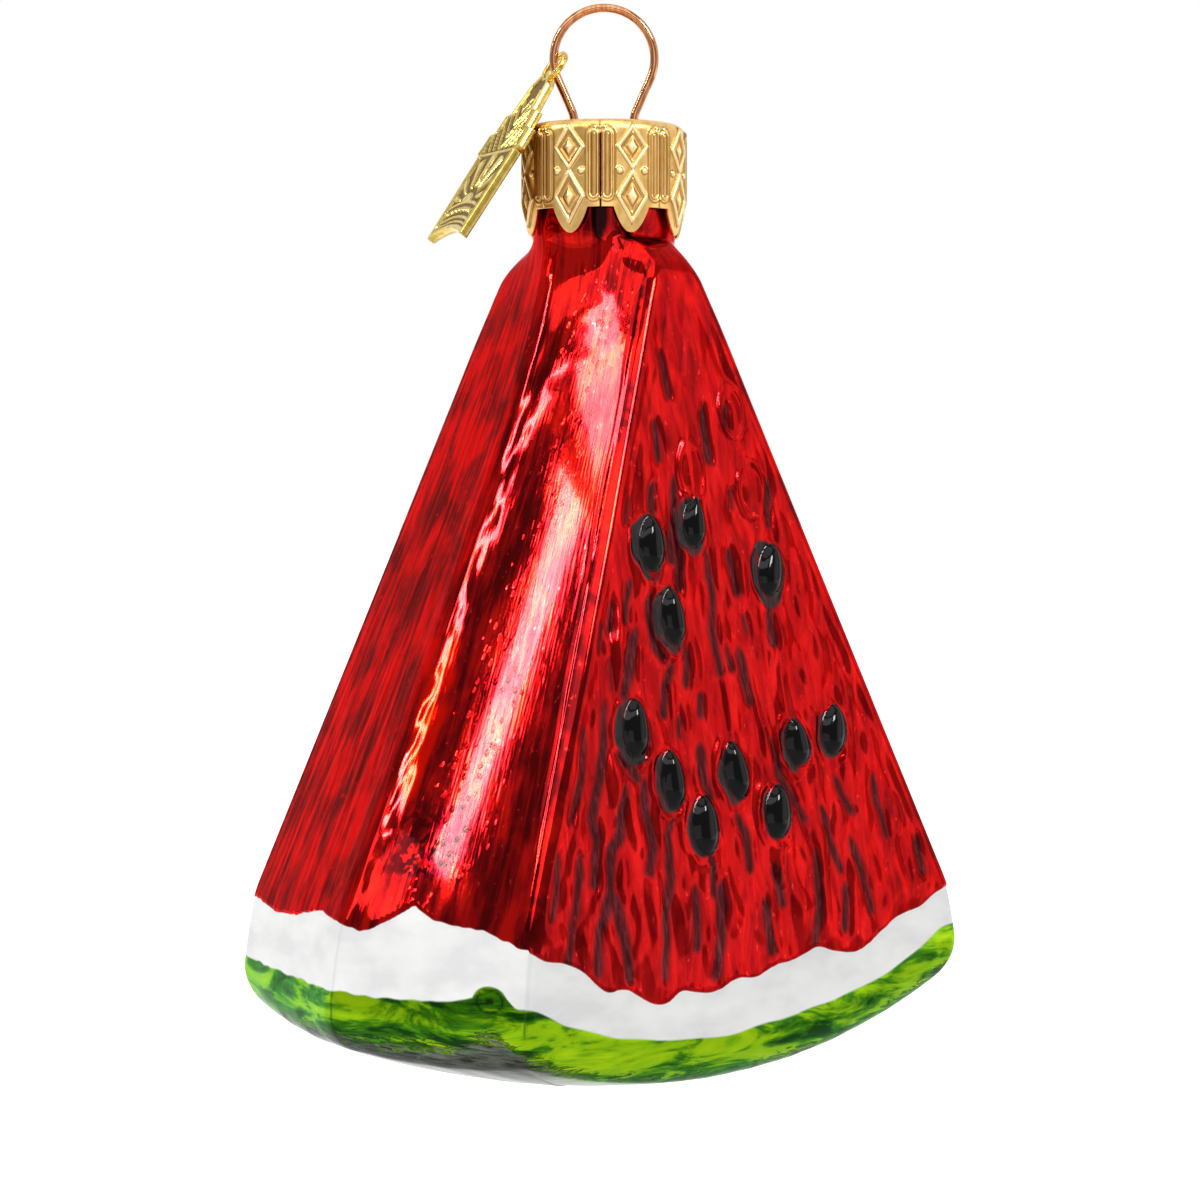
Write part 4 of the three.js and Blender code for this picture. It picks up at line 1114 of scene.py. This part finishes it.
def rind_paint(g, below):
    """Colours of the rind and the pith, and the share of the rind that is bare silvered glass."""
    pith = g.ramp(g.noise((6.0, 6.0, 3.0), 3.0, 0.5), [
        (0.36, (0.79, 0.79, 0.79)), (0.5, (0.87, 0.87, 0.86)), (0.64, (0.92, 0.92, 0.91)),
    ])
    rind = g.ramp(g.noise((8.0, 8.0, 2.0), 4.0, 0.62, 0.7), [
        (0.36, (0.004, 0.05, 0.002)), (0.46, (0.05, 0.22, 0.002)), (0.54, (0.26, 0.52, 0.003)),
        (0.70, (0.42, 0.66, 0.006)),
    ])
    silver = g.ramp(g.noise((3.0, 3.0, 0.28), 4.0, 0.65, 0.3), [
        (0.36, (0.02, 0.025, 0.015)), (0.5, (0.10, 0.11, 0.09)), (0.7, (0.19, 0.21, 0.18)),
    ])
    hatch = g.noise((1.8, 1.8, 0.3), 3.0, 0.6, 0.5)
    brushed = g.plus(below, g.times(g.minus(hatch, 0.5), 4.5))
    bare = g.step(brushed, -3.9, -4.5)
    dark_edge = g.step(g.math("ABSOLUTE", g.plus(brushed, 3.8), 0.0), 0.45, 0.1)
    mark = g.field("mark")
    rind = g.coats(rind, [
        (bare, silver),
        (g.times(dark_edge, 0.8), (0.006, 0.03, 0.004)),
        (g.times(mark, 0.9), (0.004, 0.025, 0.003)),
    ])
    return rind, g.mix(g.times(mark, 0.35), pith, (0.45, 0.45, 0.44)), bare


def painted_glass():
    g = material_graph("painted_glass")
    front, below = g.field("front"), g.field("rind")
    red, enamel = flesh_paint(g, front)
    rind, pith, bare = rind_paint(g, below)
    in_flesh, in_pith = g.step(g.field("flesh"), -0.07, 0.07), g.step(below, -0.12, 0.12)
    edge_tint = g.coats((0.25, 0.6, 0.05), [
        (bare, (0.10, 0.12, 0.09)),
        (in_pith, (1.0, 1.0, 1.0)),
        (g.times(in_flesh, g.minus(1.0, enamel)), (0.9, 0.01, 0.02)),
    ])
    metal = g.mix_value(in_flesh, g.mix_value(in_pith, 0.6, 0.0), g.mix_value(enamel, 0.97, 0.0))
    rough_flesh = g.mix_value(enamel, g.mix_value(front, 0.04, 0.17), 0.08)
    ripples = g.times(g.noise((1.0, 1.0, 1.3), 1.0, 0.5, 0.8), 0.0012)
    lines = g.times(g.times(g.lines(0.28, 3.2, 1.0, 0.25), 0.0035), g.minus(1.0, front))
    drops = g.times(g.times(g.drops(0.75, 0.9), g.field("drops")), 0.014)
    return g.principled(
        Base_Color=g.mix(in_flesh, g.mix(in_pith, rind, pith), red), Metallic=metal,
        Roughness=g.mix_value(in_flesh, g.mix_value(in_pith, 0.18, 0.4), rough_flesh),
        Normal=g.bump(g.plus(g.plus(ripples, lines), drops), 1.0), Specular_Tint=edge_tint,
        Specular_IOR_Level=0.12, Coat_Weight=0.08, Coat_Roughness=0.03, Coat_IOR=1.5,
    )


def bare_silvering():
    g = material_graph("bare_silvering")
    tarnish = g.noise((3.0, 3.0, 3.0), 4.0)
    colour = g.ramp(tarnish, [(0.35, (0.30, 0.29, 0.27)), (0.65, (0.60, 0.59, 0.57))])
    return g.principled(Base_Color=colour, Metallic=0.9, Roughness=g.mix_value(tarnish, 0.3, 0.5))


def gold_sheet():
    g = material_graph("gold_sheet")
    relief = g.field("relief")
    wear = g.noise((0.9, 0.9, 1.6), 4.0, 0.6)
    base = g.ramp(wear, [
        (0.32, (0.74, 0.43, 0.12)), (0.55, (0.90, 0.58, 0.20)), (0.75, (0.96, 0.68, 0.29)),
    ])
    # Painted shade: darker brown at the feet of the embossed lines, found from the relief height
    foot = g.times(g.step(relief, 0.004, 0.03), g.step(relief, 0.16, 0.09))
    colour = g.coats(base, [
        (foot, (0.50, 0.25, 0.065)),
        # Painted highlight: lighter gold on the raised tops of the embossing
        (g.step(relief, 0.14, 0.22), (1.0, 0.77, 0.40)),
        # Painted shade: dark brown in the sunken grooves
        (g.step(relief, -0.005, -0.05), (0.22, 0.10, 0.02)),
    ])
    rough = g.mix_value(wear, 0.24, 0.38)
    normal = g.bump(g.noise((0.12, 0.12, 0.12), 2.0, 0.6), 0.01, 0.25)
    return g.principled(Base_Color=colour, Metallic=1.0, Roughness=rough, Normal=normal)


def copper_wire():
    g = material_graph("copper_wire")
    drawn = g.noise((0.3, 0.3, 3.0), 3.0)
    colour = g.ramp(drawn, [(0.35, (0.42, 0.16, 0.065)), (0.65, (0.66, 0.31, 0.15))])
    rough = g.mix_value(drawn, 0.07, 0.12)
    return g.principled(Base_Color=colour, Metallic=1.0, Roughness=rough)


def cast_gold():
    g = material_graph("cast_gold")
    ground = g.field("ground")
    wear = g.noise((0.8, 0.8, 0.8), 4.0, 0.65)
    metal = g.ramp(wear, [(0.35, (0.56, 0.38, 0.07)), (0.65, (0.82, 0.62, 0.17))])
    stain = g.step(g.plus(ground, g.times(wear, 0.8)), 0.95, 1.3)
    colour = g.mix(stain, metal, (0.20, 0.12, 0.03))
    rough = g.mix_value(stain, 0.2, 0.55)
    normal = g.bump(wear, 0.02, 0.3)
    return g.principled(Base_Color=colour, Metallic=1.0, Roughness=rough, Normal=normal)


# Studio

# The camera: its turn from square to the front face, its distance and height in metres, its focal
# length and frame in pixels of the photograph, and the column and row straight ahead of it there
VIEW_TURN = math.radians(41.3)
VIEW_DISTANCE, EYE_Z = 0.275, -0.0405
FOCAL_PIXELS, FRAME_PIXELS = 2942.0, 1200.0
AXIS_U, EYE_V = 604.0, 450.0
SENSOR_MM = 36.0
# Grey of the surroundings as mirrors show it and as it lights dull surfaces
GREY_SEEN, GREY_LIGHT = 0.40, 0.66
LAMP_AIM = (0, 0, -0.06)
FLOOR_REACH, FLOOR_Z = 4.0, -0.19
# Lamps that are seen only in reflections: name, place, width and height, radiance and way up
HIGHLIGHTS = [
    ("strip", (-0.4576, 0.25, 0.2568), (0.017, 0.118), 75, (0.0535, -0.034, 0.117)),
    ("strip_middle", (-0.4288, 0.2033, 0.3355), (0.024, 0.052), 45, (0, -0.042, 0.028)),
    ("strip_top", (-0.4419, 0.153, 0.3483), (0.034, 0.066), 45, (-0.024, -0.056, 0)),
    ("card", (-0.455, 0.307, 0.16), (0.06, 0.075), 3.0),
    ("window", (0.02, -0.48, 0.29), (0.10, 0.16), 50),
    ("edge", (-0.34, -0.38, 0.38), (0.55, 0.16), 3.0),
    ("rim", (-0.47, -0.01, 0.37), (0.36, 0.22), 1.7),
    ("fill", (0.40, -0.44, 0.13), (0.32, 0.62), 1.0),
]


def view_point(right, away, up):
    """A point from distances in the view: right, away from the eye's side, and up, in metres."""
    c, s = math.cos(VIEW_TURN), math.sin(VIEW_TURN)
    return Vector((right * c + away * s, -right * s + away * c, up))


def make_camera():
    data = bpy.data.cameras.new("camera")
    data.sensor_width = SENSOR_MM
    data.lens = FOCAL_PIXELS / FRAME_PIXELS * SENSOR_MM
    data.clip_start, data.clip_end = 0.01, 20
    camera = add_object("camera", data)
    camera.location = view_point(0, -VIEW_DISTANCE, EYE_Z)
    middle = FRAME_PIXELS / 2
    aim = view_point((middle - AXIS_U) / FOCAL_PIXELS, 1, -(middle - EYE_V) / FOCAL_PIXELS)
    camera.rotation_euler = aim.to_track_quat("-Z", "Y").to_euler()
    bpy.context.scene.camera = camera


def softbox(name, place, size, radiance, up=(0, 0, 1)):
    """A rectangular lamp of the given radiance that faces the slice, its height along up."""
    data = bpy.data.lights.new(name, "AREA")
    data.shape = "RECTANGLE"
    data.size, data.size_y = size
    data.energy = radiance * math.pi * size[0] * size[1]
    lamp = add_object(name, data)
    back = (Vector(place) - Vector(LAMP_AIM)).normalized()
    side = Vector(up).cross(back).normalized()
    turn = Matrix((side, back.cross(side), back)).transposed()
    lamp.matrix_world = Matrix.Translation(place) @ turn.to_4x4()
    return lamp


def make_world():
    """White behind the ornament, seen and mirrored, and plain grey light elsewhere."""
    world = bpy.data.worlds.new("studio")
    bpy.context.scene.world = world
    g = Graph(world, "ShaderNodeOutputWorld")
    rays = g.node("ShaderNodeLightPath", {}).outputs
    backdrop = g.step(g.dot(g.place("Generated"), view_point(0, 1, 0.15)), -0.15, 0.75)
    mirrored = g.most(rays["Is Glossy Ray"], rays["Is Transmission Ray"])
    white = g.most(g.times(mirrored, backdrop), rays["Is Camera Ray"])
    grey = g.mix_value(rays["Is Diffuse Ray"], GREY_SEEN, GREY_LIGHT)
    g.show(g.node("ShaderNodeBackground", {"Color": g.mix(white, grey, (1, 1, 1))}))


def make_floor():
    """Plain pale floor below the hanging ornament, white further off."""
    mesh = bpy.data.meshes.new("floor")
    turns = [(-1, -1), (1, -1), (1, 1), (-1, 1)]
    corners = [(x * FLOOR_REACH, y * FLOOR_REACH, FLOOR_Z) for x, y in turns]
    mesh.from_pydata(corners, [], [(0, 1, 2, 3)])
    g = material_graph("floor_paper")
    rise = g.step(g.dot(g.place(), view_point(0, 1, 0)), 0.02, 0.28)
    paper = g.node("ShaderNodeBsdfDiffuse", {"Color": (0.93, 0.93, 0.93)})
    glow = g.node("ShaderNodeEmission", {"Strength": g.mix_value(rise, 0.04, 0.85)})
    lit = g.node("ShaderNodeAddShader", {0: paper.outputs[0], 1: glow.outputs[0]})
    mesh.materials.append(g.show(lit))
    floor = add_object("floor", mesh)


def make_studio():
    bpy.context.scene.view_settings.view_transform = "Standard"
    make_world()
    make_floor()
    for lamp in HIGHLIGHTS:
        softbox(*lamp).visible_diffuse = False
    softbox("behind", view_point(0.03, -0.62, -0.02), (0.34, 0.26), 1.0)
    softbox("top", (-0.12, -0.13, 0.56), (0.55, 0.45), 1.6)
    softbox("left", (-0.6, 0.1, 0.1), (0.4, 0.4), 1.2).visible_glossy = False


def main():
    make_camera()
    make_glass(painted_glass(), bare_silvering())
    make_cap(gold_sheet())
    make_wire(copper_wire())
    make_tag(cast_gold())
    make_studio()


main()
